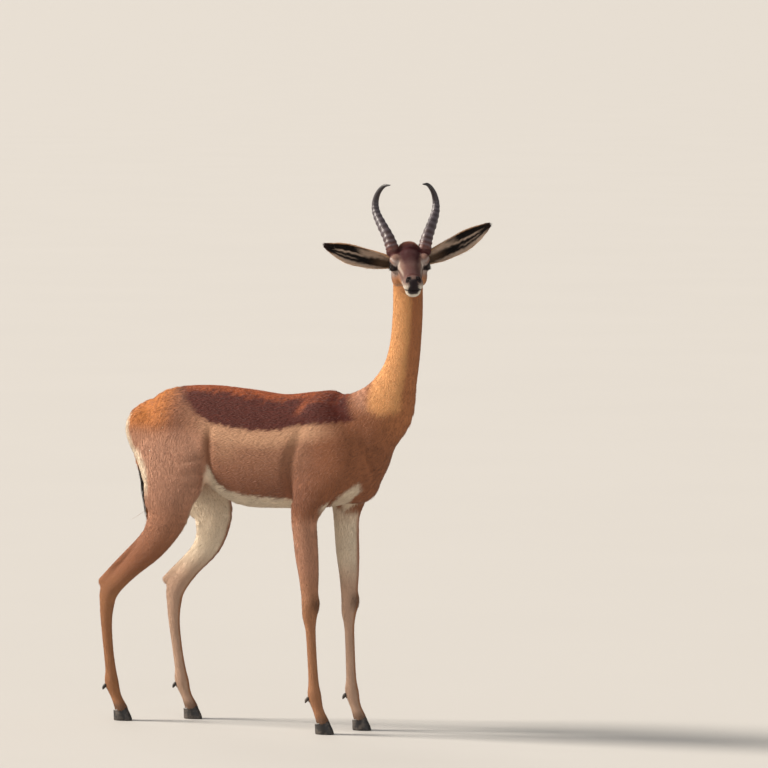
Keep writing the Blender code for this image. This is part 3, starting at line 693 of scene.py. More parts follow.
def headness(points: Array) -> Array:
    """Returns 1 on the head and 0 on neck and body."""
    x, _, z = in_space(points, HEAD).T
    return ramp(z + 0.25 * np.clip(x, 0, 20), -9.5, -6.0)


def eye_nearness(points: Array) -> Array:
    """Returns 1 at the lids and 0 away from the eyes."""
    x, y, z = in_space(points, HEAD).T
    return 1 - ramp(gap(x, np.abs(y), z, EYE_AT), EYE_RADIUS + 0.3, EYE_RADIUS + 1.6)


def coat_depth(points: Array) -> Array:
    """Returns how deep the coat is at each point, in metres."""
    height = in_space(points, BODY)[:, 2]
    depth = 0.0009 + 0.0010 * ramp(height, 0.40, 0.66) - 0.0004 * ramp(height, 1.00, 1.08)
    head = headness(points)
    depth = depth * (1 - head) + 0.0009 * head
    near = eye_nearness(points)
    return depth * (1 - near) + 0.0003 * near


# ---------------------------------------------------------------- mesh helpers
def object_from(form: BMesh, name: str) -> Object:
    """Returns an object in the scene whose mesh is the form, which is used up."""
    mesh = bpy.data.meshes.new(name)
    bmesh.ops.recalc_face_normals(form, faces=form.faces)
    form.to_mesh(mesh)
    form.free()
    made = bpy.data.objects.new(name, mesh)
    bpy.context.scene.collection.objects.link(made)
    return made


def apply_modifiers(thing: Object) -> None:
    """Turns the object's modifiers into plain mesh."""
    graph = bpy.context.evaluated_depsgraph_get()
    mesh = bpy.data.meshes.new_from_object(thing.evaluated_get(graph))
    thing.modifiers.clear()
    thing.data = mesh


def mesh_points(mesh: Mesh) -> Array:
    """Returns the places of the mesh's vertices."""
    points = np.empty(len(mesh.vertices) * 3)
    mesh.vertices.foreach_get("co", points)
    return points.reshape(-1, 3)


def mesh_normals(mesh: Mesh) -> Array:
    """Returns the normals of the mesh's vertices."""
    normals = np.empty(len(mesh.vertices) * 3, np.float32)
    mesh.vertex_normals.foreach_get("vector", normals)
    return normals.reshape(-1, 3).astype(float)


def set_points(mesh: Mesh, points: Array) -> None:
    """Moves the mesh's vertices to these places."""
    mesh.vertices.foreach_set("co", points.ravel())
    mesh.update()


def store(mesh: Mesh, name: str, values: Array, domain: str = "POINT") -> None:
    """Stores values as an attribute: a number, an int, a direction or a colour for each element."""
    if values.ndim == 1:
        kind, slot = ("INT", "value") if values.dtype.kind == "i" else ("FLOAT", "value")
    elif values.shape[1] == 3:
        kind, slot = "FLOAT_VECTOR", "vector"
    else:
        kind, slot = "FLOAT_COLOR", "color"
    made = mesh.attributes.new(name, kind, domain)
    kept = np.int32 if kind == "INT" else np.float32
    made.data.foreach_set(slot, np.ascontiguousarray(values, kept).ravel())


def spread(mesh: Mesh, values: Array, rounds: int) -> Array:
    """Returns values evened out between neighbouring vertices, by half in each round."""
    edges = np.empty(len(mesh.edges) * 2, np.int32)
    mesh.edges.foreach_get("vertices", edges)
    a, b = edges.reshape(-1, 2).T
    count = np.bincount(np.r_[a, b], minlength=len(values))[:, None]
    for _ in range(rounds):
        total = np.stack([
            np.bincount(np.r_[a, b], weights=np.r_[column[b], column[a]], minlength=len(values))
            for column in values.T
        ], axis=1)
        values = 0.5 * values + 0.5 * total / np.maximum(count, 1)
    return values


def shade_smooth(mesh: Mesh) -> None:
    """Shades every face of the mesh smooth."""
    mesh.polygons.foreach_set("use_smooth", np.ones(len(mesh.polygons), bool))


def finished(thing: Object, material: Material, slot: str, *nodes: str) -> Object:
    """Gives a piece its material and its place in the frame.

    Args:
        thing: the piece, at the origin and with its place in its mesh.
        material: its finish.
        slot: the record's material slot that it belongs to, which is not used.
        nodes: the nodes of the solid model that it stands for.

    Returns:
        The same piece.
    """
    thing.data.materials.clear()
    thing.data.materials.append(material)
    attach(thing, BODY_ROW)
    if nodes:
        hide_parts(*nodes)
    log.info("%s: %d faces", thing.name, len(thing.data.polygons))
    return thing


# ---------------------------------------------------------------- node helpers
class Graph:
    """A node tree and short ways of adding nodes to it."""

    def __init__(self, tree: bpy.types.NodeTree) -> None:
        """Keeps the tree that the nodes go into."""
        self.tree = tree

    def add(self, kind: str, inputs: dict | None = None, **settings: object) -> bpy.types.Node:
        """Adds a node.

        Args:
            kind: the node's type name.
            inputs: values, or sockets to link, by the input's name or number.
            settings: properties of the node.

        Returns:
            The new node.
        """
        node = self.tree.nodes.new(kind)
        for name, value in settings.items():
            setattr(node, name, value)
        for name, value in (inputs or {}).items():
            if isinstance(value, Socket):
                self.tree.links.new(value, node.inputs[name])
            else:
                node.inputs[name].default_value = value
        return node

    def math(self, operation: str, a: object, b: object) -> Socket:
        """Returns the result of a sum on two numbers or sockets."""
        return self.add("ShaderNodeMath", {0: a, 1: b}, operation=operation).outputs[0]

    def product(self, first: object, *others: object) -> Socket:
        """Returns the product of numbers or sockets, taken from the first one on."""
        for other in others:
            first = self.math("MULTIPLY", first, other)
        return first


# ---------------------------------------------------------------- finishes
def linear(code: str) -> Array:
    """Returns the linear red, green and blue of a colour written as six hex digits."""
    values = np.array([int(code[i:i + 2], 16) for i in (0, 2, 4)]) / 255
    return np.where(values <= 0.04045, values / 12.92, ((values + 0.055) / 1.055) ** 2.4)


def painter(colour: Array) -> Callable[[str, Array], None]:
    """Returns a function that paints rows of linear colour, one layer over the other."""

    def lay(code: str, share: Array) -> None:
        """Lays a colour over the last ones, as far as the share says."""
        colour[:] = colour * (1 - share[:, None]) + linear(code) * share[:, None]

    return lay


class Shader(Graph):
    """A material's tree, with its Principled shader at hand."""

    def __init__(self, name: str) -> None:
        """Makes the material with its default nodes."""
        self.material = bpy.data.materials.new(name)
        self.material.use_nodes = True
        super().__init__(self.material.node_tree)
        self.principled = self.tree.nodes["Principled BSDF"]

    def put(self, **values: object) -> None:
        """Sets or links the shader's inputs, named with _ for a space."""
        for name, value in values.items():
            socket = self.principled.inputs[name.replace("_", " ")]
            if isinstance(value, Socket):
                self.tree.links.new(value, socket)
            else:
                socket.default_value = value

    def places(self, stretch: tuple = (1, 1, 1)) -> Socket:
        """Returns object coordinates, in metres, stretched along the three axes."""
        found = self.add("ShaderNodeTexCoord").outputs["Object"]
        return self.add("ShaderNodeMapping", {"Vector": found, "Scale": stretch}).outputs[0]

    def noise(self, vector: Socket, scale: float, detail: float = 3.0) -> Socket:
        """Returns a grey noise from 0 to 1."""
        return self.add("ShaderNodeTexNoise", {"Vector": vector, "Scale": scale, "Detail": detail}).outputs[0]

    def between(self, value: Socket, low: float, high: float) -> Socket:
        """Returns a value from 0 to 1 turned to one from low to high."""
        return self.add("ShaderNodeMapRange", {"Value": value, "To Min": low, "To Max": high}).outputs[0]

    def scaled(self, colour: Socket, amount: Socket) -> Socket:
        """Returns the colour made lighter or darker by the amount."""
        return self.add("ShaderNodeVectorMath", {0: colour, 1: amount}, operation="MULTIPLY").outputs[0]

    def bump(self, height: Socket, depth: float) -> None:
        """Lays a bump of this depth in metres over the surface."""
        node = self.add("ShaderNodeBump", {"Height": height, "Strength": 0.6, "Distance": depth})
        self.put(Normal=node.outputs[0])

    def flat(self, code: str) -> Socket:
        """Returns a plain colour written as six hex digits."""
        colour = self.add("ShaderNodeRGB").outputs[0]
        colour.default_value = (*linear(code), 1)
        return colour

    def attribute(self, name: str, output: str = "Color") -> Socket:
        """Returns an attribute of the mesh."""
        return self.add("ShaderNodeAttribute", attribute_name=name).outputs[output]


@dataclass(frozen=True)
class HideFinish:
    """The hide under the coat: the markings, mottled, with the fine grain of short hair."""

    roughness: float = 0.72
    gloss: float = 0.12
    grain: float = 900.0
    patches: float = 26.0
    depth: float = 0.0006  # m

    def material(self) -> Material:
        """Returns the material."""
        shader = Shader("hide")
        places = shader.places()
        grain = shader.noise(places, self.grain, 2.0)
        patches = shader.noise(places, self.patches)
        tone = shader.product(shader.between(grain, 0.72, 1.12), shader.between(patches, 0.90, 1.10))
        shader.put(Base_Color=shader.scaled(shader.attribute("coat_colour"), tone))
        shader.put(Roughness=self.roughness, Specular_IOR_Level=self.gloss)
        shader.bump(grain, self.depth)
        return shader.material


@dataclass(frozen=True)
class CoatFinish:
    """Short, sleek hair: darker at the roots, each tuft a little lighter or darker than the next."""

    roughness: float = 0.50
    root_tone: float = 0.88
    tip_tone: float = 1.06
    variety: float = 0.10
    gloss: float = 0.2
    patches: float = 26.0
    streaks: float = 1500.0
    depth: float = 0.0003  # m

    def material(self) -> Material:
        """Returns the material."""
        shader = Shader("coat")
        along = shader.between(shader.attribute("along", "Fac"), self.root_tone, self.tip_tone)
        own = shader.between(shader.attribute("tone", "Fac"), 1 - self.variety, 1 + self.variety)
        patches = shader.between(shader.noise(shader.places(), self.patches), 0.88, 1.12)
        tone = shader.product(along, own, patches)
        shader.put(Base_Color=shader.scaled(shader.attribute("coat_colour"), tone))
        shader.put(Roughness=self.roughness, Sheen_Weight=0.05, Sheen_Roughness=0.45)
        shader.put(Specular_IOR_Level=self.gloss)
        shader.bump(shader.noise(shader.places(), self.streaks, 1.0), self.depth)
        return shader.material


@dataclass(frozen=True)
class HornFinish:
    """Horn sheath: tinted along its length, streaked upwards, with duller specks."""

    roughness: float = 0.44
    streaks: float = 420.0
    specks: float = 160.0
    depth: float = 0.0008  # m

    def material(self) -> Material:
        """Returns the material."""
        shader = Shader("horn")
        streaks = shader.noise(shader.places((1.0, 1.0, 0.12)), self.streaks)
        specks = shader.noise(shader.places(), self.specks)
        tone = shader.product(shader.between(streaks, 0.70, 1.30), shader.between(specks, 0.85, 1.15))
        shader.put(Base_Color=shader.scaled(shader.attribute("tint"), tone))
        shader.put(Roughness=shader.between(specks, self.roughness - 0.08, self.roughness + 0.16))
        shader.bump(streaks, self.depth)
        return shader.material


@dataclass(frozen=True)
class EyeFinish:
    """A wet, dark eye under a clear coat."""

    fibres: float = 700.0
    gloss: float = 0.10
    wetness: float = 0.30

    def material(self) -> Material:
        """Returns the material."""
        shader = Shader("eye")
        fibres = shader.noise(shader.places(), self.fibres, 2.0)
        shader.put(Base_Color=shader.scaled(shader.attribute("tint"), shader.between(fibres, 0.7, 1.3)))
        shader.put(Roughness=0.35, Specular_IOR_Level=self.gloss)
        shader.put(Coat_Weight=self.wetness, Coat_Roughness=0.02)
        return shader.material


@dataclass(frozen=True)
class HoofFinish:
    """Near-black hoof horn with fine growth lines and dusty, worn places."""

    dark: str = "1b1715"
    worn: str = "5a5048"
    lines: float = 900.0
    wear: float = 70.0
    depth: float = 0.0005  # m

    def material(self) -> Material:
        """Returns the material."""
        shader = Shader("hoof")
        lines = shader.noise(shader.places((0.2, 0.2, 1.0)), self.lines)
        wear = shader.noise(shader.places(), self.wear, 5.0)
        share = shader.add("ShaderNodeMapRange", {"Value": wear, "From Min": 0.45, "From Max": 0.75})
        mixed = shader.add("ShaderNodeMix", {"Factor": share.outputs[0]}, data_type="RGBA")
        mixed.inputs[6].default_value = (*linear(self.dark), 1)
        mixed.inputs[7].default_value = (*linear(self.worn), 1)
        shader.put(Base_Color=mixed.outputs[2], Roughness=shader.between(wear, 0.35, 0.62))
        shader.bump(lines, self.depth)
        return shader.material


@dataclass(frozen=True)
class LashFinish:
    """Nearly black lashes."""

    colour: str = "17110f"

    def material(self) -> Material:
        """Returns the material."""
        shader = Shader("dark_hair")
        own = shader.between(shader.noise(shader.places(), 300.0), 0.6, 1.7)
        shader.put(Base_Color=shader.scaled(shader.flat(self.colour), own))
        shader.put(Roughness=0.45, Sheen_Weight=0.2)
        return shader.material


@dataclass(frozen=True)
class FloorFinish:
    """A plain pale studio floor with the faintest unevenness."""

    colour: str = "b3b1ae"

    def material(self) -> Material:
        """Returns the material."""
        shader = Shader("floor")
        cloud = shader.between(shader.noise(shader.places(), 0.8), 0.98, 1.02)
        shader.put(Base_Color=shader.scaled(shader.flat(self.colour), cloud), Roughness=0.9)
        return shader.material


# ---------------------------------------------------------------- markings
@dataclass(frozen=True)
class Markings:
    """The colours of the coat and where each lies, painted sunlight and painted shade among them."""

    tan: str = "8f5c40"
    flank: str = "865842"
    saddle: str = "54251d"
    sunlit_saddle: str = "a0532c"
    # painted sunlight: the saddle's colour where the sun falls on it
    under_saddle: str = "c39878"
    rump: str = "b36f3a"
    neck: str = "ab6f49"
    # painted sunlight: the golden colour of the sunlit nape and neck, also laid on the back of the head
    nape: str = "d99e68"
    cream: str = "dac8b0"
    shin: str = "a57450"
    thigh: str = "ba8b72"
    inner: str = "bfa18c"
    knee: str = "3b261c"
    coronet: str = "6b5140"
    forehead: str = "42191b"
    crown: str = "a55a30"
    cheek: str = "8c6c5f"
    muzzle: str = "5c342f"
    ring: str = "b2a29b"
    jaw: str = "c08250"
    pale: str = "e2d8c8"
    dark: str = "1d1314"
    lip: str = "2b2225"
    tuft: str = "1a1412"
    # painted shade, laid in the flank fold and in the elbow crease
    crease: str = "5f3622"
    saddle_edge: tuple = (
        (-0.74, 1.03), (-0.60, 1.02), (-0.52, 0.985), (-0.485, 0.950), (-0.455, 0.925), (-0.40, 0.899),
        (-0.32, 0.888), (-0.24, 0.883), (-0.17, 0.886), (-0.105, 0.903), (0.045, 0.916), (0.09, 0.925),
    )
    # the lower edge of the painted sunlight on the neck
    neck_sunlight_edge: tuple = ((0.06, 0.990), (0.10, 0.955), (0.135, 0.936), (0.175, 0.940), (0.25, 0.950))
    belly_edge: tuple = (
        (-0.52, 0.66), (-0.44, 0.790), (-0.41, 0.775), (-0.398, 0.757), (-0.384, 0.725), (-0.353, 0.702),
        (-0.287, 0.689), (-0.157, 0.684), (-0.085, 0.672), (-0.030, 0.640), (0.10, 0.630),
    )
    armpit: tuple = (
        (-0.08, 0.620), (-0.038, 0.650), (0.0, 0.675), (0.037, 0.697), (0.059, 0.712), (0.072, 0.724),
    )
    bridge: tuple = (  # head x, half the width of the dark blaze
        (2.0, 2.8), (5.0, 4.2), (8.0, 3.9), (11.0, 2.9), (15.0, 2.1), (20.0, 1.7), (23.0, 1.4),
    )
    lips: tuple = (  # head z, half the width of the dark patch
        (-8.4, 0.7), (-7.4, 1.4), (-6.6, 1.55), (-5.6, 1.15), (-4.8, 1.15), (-3.9, 1.3),
    )

    def paint(self, points: Array, normals: Array) -> Array:
        """Returns the colour of each point.

        Args:
            points: places on the hide, in the row frame.
            normals: the outward directions there.

        Returns:
            Linear red, green, blue and alpha for each point.
        """
        colour = np.tile(linear(self.tan), (len(points), 1))
        lay = painter(colour)
        self._paint_body(points, normals, lay)
        self._paint_legs(points, normals, lay)
        self._paint_head(points, normals, lay)
        return np.c_[colour, np.ones(len(points))]

    def _paint_body(self, points: Array, normals: Array, lay: Callable) -> None:
        """Lays the saddle, the flanks, the belly, the neck and the rump, with painted sunlight and painted
        shade.
        """
        x, y, z = in_space(points, BODY).T
        side = np.abs(y)
        ragged = wobble(points, 0.030, 1.0) * 0.004 + wobble(points, 0.009, 2.0) * 0.002
        lay(self.flank, ramp(-x, 0.0, 0.10) * ramp(z, 0.62, 0.68))
        lay(self.rump, ramp(-x, 0.50, 0.60) * ramp(z, 0.80, 0.93))
        up_neck = up_the_neck(x, z)
        lay(self.neck, ramp(up_neck, 0.00, 0.14))
        over = z - profile(x, self.neck_sunlight_edge) + ragged
        lay(self.thigh, hump(up_neck, 0.035, 0.045) * ramp(z, 0.93, 0.97) * 0.6)
        # Painted sunlight on the nape and the sides of the neck, where the surface does not face forward.
        nape = ramp(over, -0.012, 0.020) * ramp(x, 0.085, 0.125)
        lay(self.nape, nape * fall(normals[:, 0] + ragged * 8, 0.36, 0.66))
        lay(self.under_saddle, ramp(z, 0.70, 0.86) * ramp(-x, 0.02, 0.12) * fall(-x, 0.44, 0.54) * 0.25)
        up = z - profile(x, self.saddle_edge) + ragged
        on_back = 1 - ramp(x + 0.62 * (z - 0.924), 0.048, 0.080)
        below = np.maximum(hump(up, -0.024, 0.044), hump(up, -0.010, 0.014))
        lay(self.under_saddle, below * 0.85 * on_back * fall(-x, 0.38, 0.46) * ramp(-x, -0.06, 0.08))
        soft = 0.004 + 0.014 * ramp(-x, 0.42, 0.50)
        lay(self.saddle, ramp(up / soft, -0.8, 1.0) * on_back)
        # Painted sunlight on the saddle where its top faces up, and in a band behind the withers.
        sunny = ramp(normals[:, 2] + wobble(points, 0.05, 9.0) * 0.08, 0.70, 0.95) * ramp(up, 0.0, 0.02)
        sunny *= 1 - 0.6 * ramp(x, -0.10, -0.04)
        behind_withers = 0.7 * hump(x + 0.118, 0.5 * (z - 0.93), 0.022) * ramp(z, 0.92, 0.95)
        lay(self.sunlit_saddle, np.maximum(sunny, behind_withers) * on_back * 0.85)
        lay(self.rump, ramp(-x, 0.52, 0.66) * ramp(z, 0.86, 0.92) * 0.7)
        low = ramp(profile(x, self.belly_edge) - z + ragged, -0.005, 0.008) * ramp(z, 0.575, 0.615)
        strides = np.where(y > 0, 1, -1) * FORE_STRIDE
        foreleg = ramp(side, 0.066, 0.084) * fall(np.abs(x + 0.056 - strides), 0.050, 0.064)
        thigh = ramp(side + ragged, 0.080, 0.096) * ramp(-x - ragged, 0.402, 0.418)
        low *= (1 - foreleg * fall(z, 0.675, 0.70)) * (1 - thigh)
        lay(self.cream, low * ramp(x, -0.57, -0.52) * fall(x, -0.01, 0.03))
        upper_thigh = ramp(-x, 0.40, 0.45) * ramp(z, 0.46, 0.74) * fall(z, 0.84, 0.90)
        lay(self.thigh, upper_thigh * 0.75)
        rim = ramp(-normals[:, 0] + ragged * 10, 0.36, 0.54) * ramp(-x, 0.550, 0.590)
        lay(self.cream, rim * ramp(z, 0.66, 0.72) * fall(z, 0.905, 0.930) * 0.95)
        lay(self.rump, fall(side, 0.013, 0.018) * ramp(-x, 0.655, 0.668))
        outer = ramp(side, 0.06, 0.08)
        lay(self.under_saddle, hump(-x, 0.34, 0.07) * hump(z, 0.83, 0.06) * outer * 0.35)
        # Painted shade in the flank fold and in the elbow crease.
        fold_shade = hump(x + 0.404, 0, 0.016) * ramp(z, 0.74, 0.80) * fall(z, 0.84, 0.90)
        lay(self.crease, fold_shade * outer * 0.7)
        elbow_shade = hump(x + 0.124 - strides * 0.6, 0, 0.014) * ramp(z, 0.67, 0.71) * fall(z, 0.73, 0.80)
        lay(self.crease, elbow_shade * outer * 0.40)

    def _paint_legs(self, points: Array, normals: Array, lay: Callable) -> None:
        """Lays the pale inner sides, the shins, the dark knees and the coronets."""
        x, y, z = in_space(points, BODY).T
        side = np.abs(y)
        ragged = wobble(points, 0.022, 3.0) * 0.006
        leg = 1 - ramp(z + ragged, 0.60, 0.66)
        inward = -np.sign(y) * normals[:, 1]
        lay(self.thigh, leg * ramp(x, -0.20, -0.15) * 0.7)
        lay(self.shin, fall(z, 0.34, 0.50) * 0.75)
        thigh = fall(z, 0.66, 0.74) * ramp(-x, 0.36, 0.42)
        inside = ramp(inward + ragged * 8, 0.15, 0.55)
        lay(self.cream, inside * np.maximum(leg, thigh) * ramp(z, 0.36, 0.52))
        lay(self.inner, inside * fall(z, 0.36, 0.52) * 0.8)
        streak = 1 - ramp(np.abs(z - profile(x, self.armpit) + ragged * 0.5), 0.009, 0.016)
        streak *= ramp(x, -0.045, -0.020) + ramp(x, -0.085, -0.065) * fall(side, 0.036, 0.050)
        streak = np.minimum(streak, 1) * fall(x, 0.066, 0.084) * fall(side, 0.090, 0.106)
        lay(self.cream, streak)
        knee = hump(z + ragged, 0.380, 0.040) * ramp(normals[:, 0], 0.1, 0.8) * ramp(x, -0.20, -0.10)
        lay(self.knee, knee * 0.60)
        lay(self.coronet, fall(z + ragged * 0.5, 0.040, 0.062) * 0.8)
        tail = fall(side, 0.012, 0.020) * ramp(-x, 0.665, 0.68) * fall(z, 0.735, 0.775)
        lay(self.tuft, tail * ramp(z, 0.58, 0.60))

    def _paint_head(self, points: Array, normals: Array, lay: Callable) -> None:
        """Lays the dark face, the pale rings round the eyes, the lips and the chin, with painted shade at the
        ear roots.
        """
        x, y, z = in_space(points, HEAD).T
        head = headness(points)
        side = np.abs(y)
        up = normals @ np.array((HEAD.to_3x3() @ Vector((0, 0, 1))).normalized())
        ragged = wobble(points, 0.012, 5.0) * 0.18 + wobble(points, 0.004, 6.0) * 0.10
        jaw = -z + 0.25 * (x - 8) + ragged
        lay(self.cheek, head * ramp(x, 1.0, 6.0))
        lay(self.ring, head * hump(jaw, 3.2, 2.2) * ramp(x, 4.0, 7.0) * fall(x, 11.0, 15.0) * 0.75)
        # The back of the head takes the golden colour of the painted sunlight on the nape.
        lay(self.nape, head * fall(x, 0.5, 4.0) * 0.9)
        lay(self.jaw, head * ramp(jaw, 3.6, 6.2) * fall(x, 9.0, 15.0) * 0.75)
        lay(self.pale, head * ramp(jaw, 6.2, 7.8) * ramp(x, 4.0, 9.0) * 0.6)
        lay(self.muzzle, head * ramp(x, 13.0, 20.0) * ramp(z, -6.2, -4.6) * 0.8)
        width = profile(x, self.bridge)
        bridge = 1 - ramp(side + ragged, width - 0.7, width + 0.45)
        bridge = bridge * ramp(up, 0.05, 0.45) * ramp(x, 3.0, 6.0)
        lay(self.forehead, head * bridge * (1 - 0.45 * ramp(x, 12.0, 19.0)) * fall(x, 22.6, 23.4))
        strip = hump(z - profile(x, ((10.5, -0.9), (20.5, -3.7))) + ragged * 0.5, 0, 0.75)
        strip *= ramp(side, 1.5, 2.3)
        lay(self.pale, head * strip * ramp(x, 10.2, 12.0) * fall(x, 17.0, 20.5) * 0.38)
        horn = gap(x, side, z, (6.2, 4.2, 2.8)) + ragged
        lay(self.forehead, head * fall(horn, 2.7, 3.9) * 0.85)
        brow = np.hypot(x - 8.4, 1.2 * (z - 1.1)) + ragged
        lay(self.forehead, head * fall(brow, 0.9, 2.0) * ramp(side, 2.0, 2.8) * 0.75)
        before_ear = gap(x, side, z, (5.2, 5.3, 1.0)) + ragged
        lay(self.pale, head * fall(before_ear, 0.7, 1.5) * 0.7)
        lay(self.crown, head * hump(x, 4.4, 3.8) * ramp(z, 2.6, 4.0) * fall(side, 2.4, 3.4))
        ex, ez = x - EYE_AT[0], z - EYE_AT[2]
        lateral = ramp(side, 2.2, 3.0)
        off = np.hypot(ex * 0.92, ez) + ragged * 0.35
        above = 0.25 + 0.75 * ramp(ez + 0.45 * ex, -0.6, 1.2)
        lay(self.ring, head * lateral * hump(off, 2.00, 0.42) * above * 0.85)
        lay(self.pale, head * hump(off, 2.25, 0.45) * hump(ez - 0.2 * ex, 0, 1.0) * ramp(ex, 0.4, 1.4) * 0.8)
        almond = np.hypot(ex * 0.86 - 0.15, (ez + 0.25 * ex) * 1.25)
        lay(self.dark, head * lateral * fall(almond + ragged * 0.25, 1.50, 1.80))
        tear = hump(z - profile(x, ((11.2, -2.0), (15.5, -3.7))) + ragged * 0.4, 0, 0.62)
        lay(self.dark, head * tear * ramp(x, 10.8, 11.6) * fall(x, 13.8, 16.4) * lateral * 0.85)
        behind = head * hump(z - profile(x, ((4.0, -0.3), (8.0, -1.1))) + ragged, 0, 1.5)
        behind = behind * ramp(x, 2.6, 4.0) * fall(x, 8.0, 9.0)
        lay(self.dark, behind * ramp(side, 3.4, 4.0) * 0.95)
        lay(self.pale, head * ramp(x, 15.5, 18.5) * fall(z + ragged, -7.0, -6.2))
        lip = hump(z + 6.1 + ragged, 0, 0.85) * ramp(x, 16.5, 19.0)
        lay(self.pale, head * lip * ramp(side, 1.1, 1.8) * 0.7)
        half = profile(z, self.lips)
        patch = ramp(x, 21.8, 22.8) * fall(side + ragged, half - 0.25, half + 0.35)
        patch *= 1 - ramp(z, -4.1, -3.5)
        lay(self.lip, head * patch * ramp(z, -8.3, -7.8))
        nostril = gap(x, side, z, (23.9, 1.45, -3.80), squeeze=0.8)
        lay(self.dark, head * fall(nostril + ragged * 0.4, 0.80, 1.10))
        crease = LipLines().off_mouth(x, z)
        lay(self.dark, head * fall(crease, 0.15, 0.32) * ramp(x, 16.8, 18.0))
        # Painted shade at the ear roots, where the rolled ears open, so the filled openings read as holes.
        for foot_x, foot_y, foot_z in HeadForm().ear_roots:
            root = gap(x - foot_x, y, z, (0.9, foot_y, foot_z))
            lay(self.dark, head * fall(root, 1.2, 2.0) * ramp(side, 4.4, 5.0) * 0.9)


# ---------------------------------------------------------------- the hide
@dataclass
class Hide:
    """One skin over head, neck, trunk, legs and tail, inside the solids by the coat's depth."""

    flesh: Flesh
    voxel: float = 0.0060  # m
    lie_reach: float = 0.012  # m, over which one mass's lie gives way to the next one's
    lie_rounds: int = 30
    replaced: tuple = (
        "head", "neck", "trunk", "tail", "tail_tuft",
        "leg_front_left", "leg_front_right", "leg_hind_left", "leg_hind_right",
    )

    def build(self) -> Object:
        """Returns the hide, fused, settled and divided finer on the head; dress gives it its markings and the
        measures of its coat.
        """
        form = bmesh.new()
        for mass in self.flesh.masses:
            mass.rough(form)
        hide = object_from(form, "hide")
        fuse = hide.modifiers.new("Fuse", "REMESH")
        fuse.mode = "VOXEL"
        fuse.voxel_size = self.voxel
        apply_modifiers(hide)
        mesh = hide.data
        set_points(mesh, self.flesh.settle(mesh_points(mesh), 4, fine=False))
        self._even_out(mesh, np.ones(len(mesh.vertices), bool), 2)
        for chosen in (self._on_head, self._on_features, self._on_edges):
            self._divide(mesh, chosen)
            self._even_out(mesh, headness(mesh_points(mesh)) > 0.01, 3)
        shade_smooth(mesh)
        log.info("hide settled: %d faces", len(mesh.polygons))
        return hide

    def _even_out(self, mesh: Mesh, moving: Array, rounds: int) -> None:
        """Evens the moving vertices out along the surface and settles them on it again."""
        points = mesh_points(mesh)
        eased = spread(mesh, points, 2)
        points[moving] = self.flesh.settle(eased[moving], rounds)
        set_points(mesh, points)

    @staticmethod
    def _divide(mesh: Mesh, chosen: object) -> None:
        """Divides the faces whose middles are chosen, each into four."""
        form = bmesh.new()
        form.from_mesh(mesh)
        form.faces.ensure_lookup_table()
        middles = np.array([face.calc_center_median() for face in form.faces])
        picked = [form.faces[i] for i in np.flatnonzero(chosen(middles))]
        edges = list({edge for face in picked for edge in face.edges})
        bmesh.ops.subdivide_edges(form, edges=edges, cuts=1, use_grid_fill=True, use_single_edge=True)
        form.to_mesh(mesh)
        form.free()

    @staticmethod
    def _on_head(points: Array) -> Array:
        """Returns which points are on the head."""
        return headness(points) > 0.3

    @staticmethod
    def _on_features(points: Array) -> Array:
        """Returns which points are near the eyes or on the muzzle."""
        x, y, z = in_space(points, HEAD).T
        side = np.abs(y)
        muzzle = (x > 15.5) & (z > -11)
        tear = (np.abs(x - 13) < 2.6) & (np.abs(z + 2.9) < 1.3) & (side > 2.4)
        return (gap(x, side, z, EYE_AT) < 3.2) | muzzle | tear

    @staticmethod
    def _on_edges(points: Array) -> Array:
        """Returns which points are at the lids, the nostrils or the line of the mouth."""
        x, y, z = in_space(points, HEAD).T
        side = np.abs(y)
        lids = (gap(x, side, z, EYE_AT) < 2.45) & (side > EYE_AT[1] - 0.6)
        nostril = gap(x, side, z, (23.8, 1.5, -3.8)) < 1.35
        mouth = (LipLines().off_mouth(x, z) < 0.40) & (x > 16.4)
        cleft = (side < 0.35) & (x > 22.8) & (z < -4.2) & (z > -7.2)
        return lids | nostril | mouth | cleft

    def dress(self, hide: Object, markings: Markings) -> None:
        """Stores the markings and the coat's measures and lie on the hide's mesh."""
        mesh = hide.data
        points, normals = mesh_points(mesh), mesh_normals(mesh)
        store(mesh, "coat_colour", markings.paint(points, normals))
        store(mesh, "lie", self._lie(mesh, points, normals))
        length, width, amount = self._hair(points, normals)
        store(mesh, "hair_length", length)
        store(mesh, "hair_width", width)
        store(mesh, "hair_amount", amount)
        middles = np.empty(len(mesh.polygons) * 3)
        mesh.polygons.foreach_get("center", middles)
        store(mesh, "part", self._parts(middles.reshape(-1, 3)), "FACE")

    def _lie(self, mesh: Mesh, points: Array, normals: Array) -> Array:
        """Returns the way in which the coat lies at each point, along the surface."""
        tubes = [mass for mass in self.flesh.masses if isinstance(mass, Tube)]
        ways = np.zeros_like(points)
        nearest = np.full(len(points), 1.0)
        found = []
        for tube in tubes:
            near = np.all((points > tube.low - 0.06) & (points < tube.high + 0.06), axis=1)
            distance = np.full(len(points), 1.0)
            distance[near] = tube.distance(points[near])
            nearest = np.minimum(nearest, distance)
            found.append((tube, near, distance))
        for tube, near, distance in found:
            share = np.exp(-(distance[near] - nearest[near]) / self.lie_reach)
            ways[near] += tube.flow(points[near]) * share[:, None]
        height = in_space(points, BODY)[:, 2]
        ways[:, 2] -= 0.30 * ramp(height, 0.55, 0.70) * fall(height, 1.0, 1.05)
        ways = spread(mesh, ways, self.lie_rounds)
        ways -= normals * (ways * normals).sum(1, keepdims=True)
        return ways / (np.linalg.norm(ways, axis=1, keepdims=True) + 1e-9)

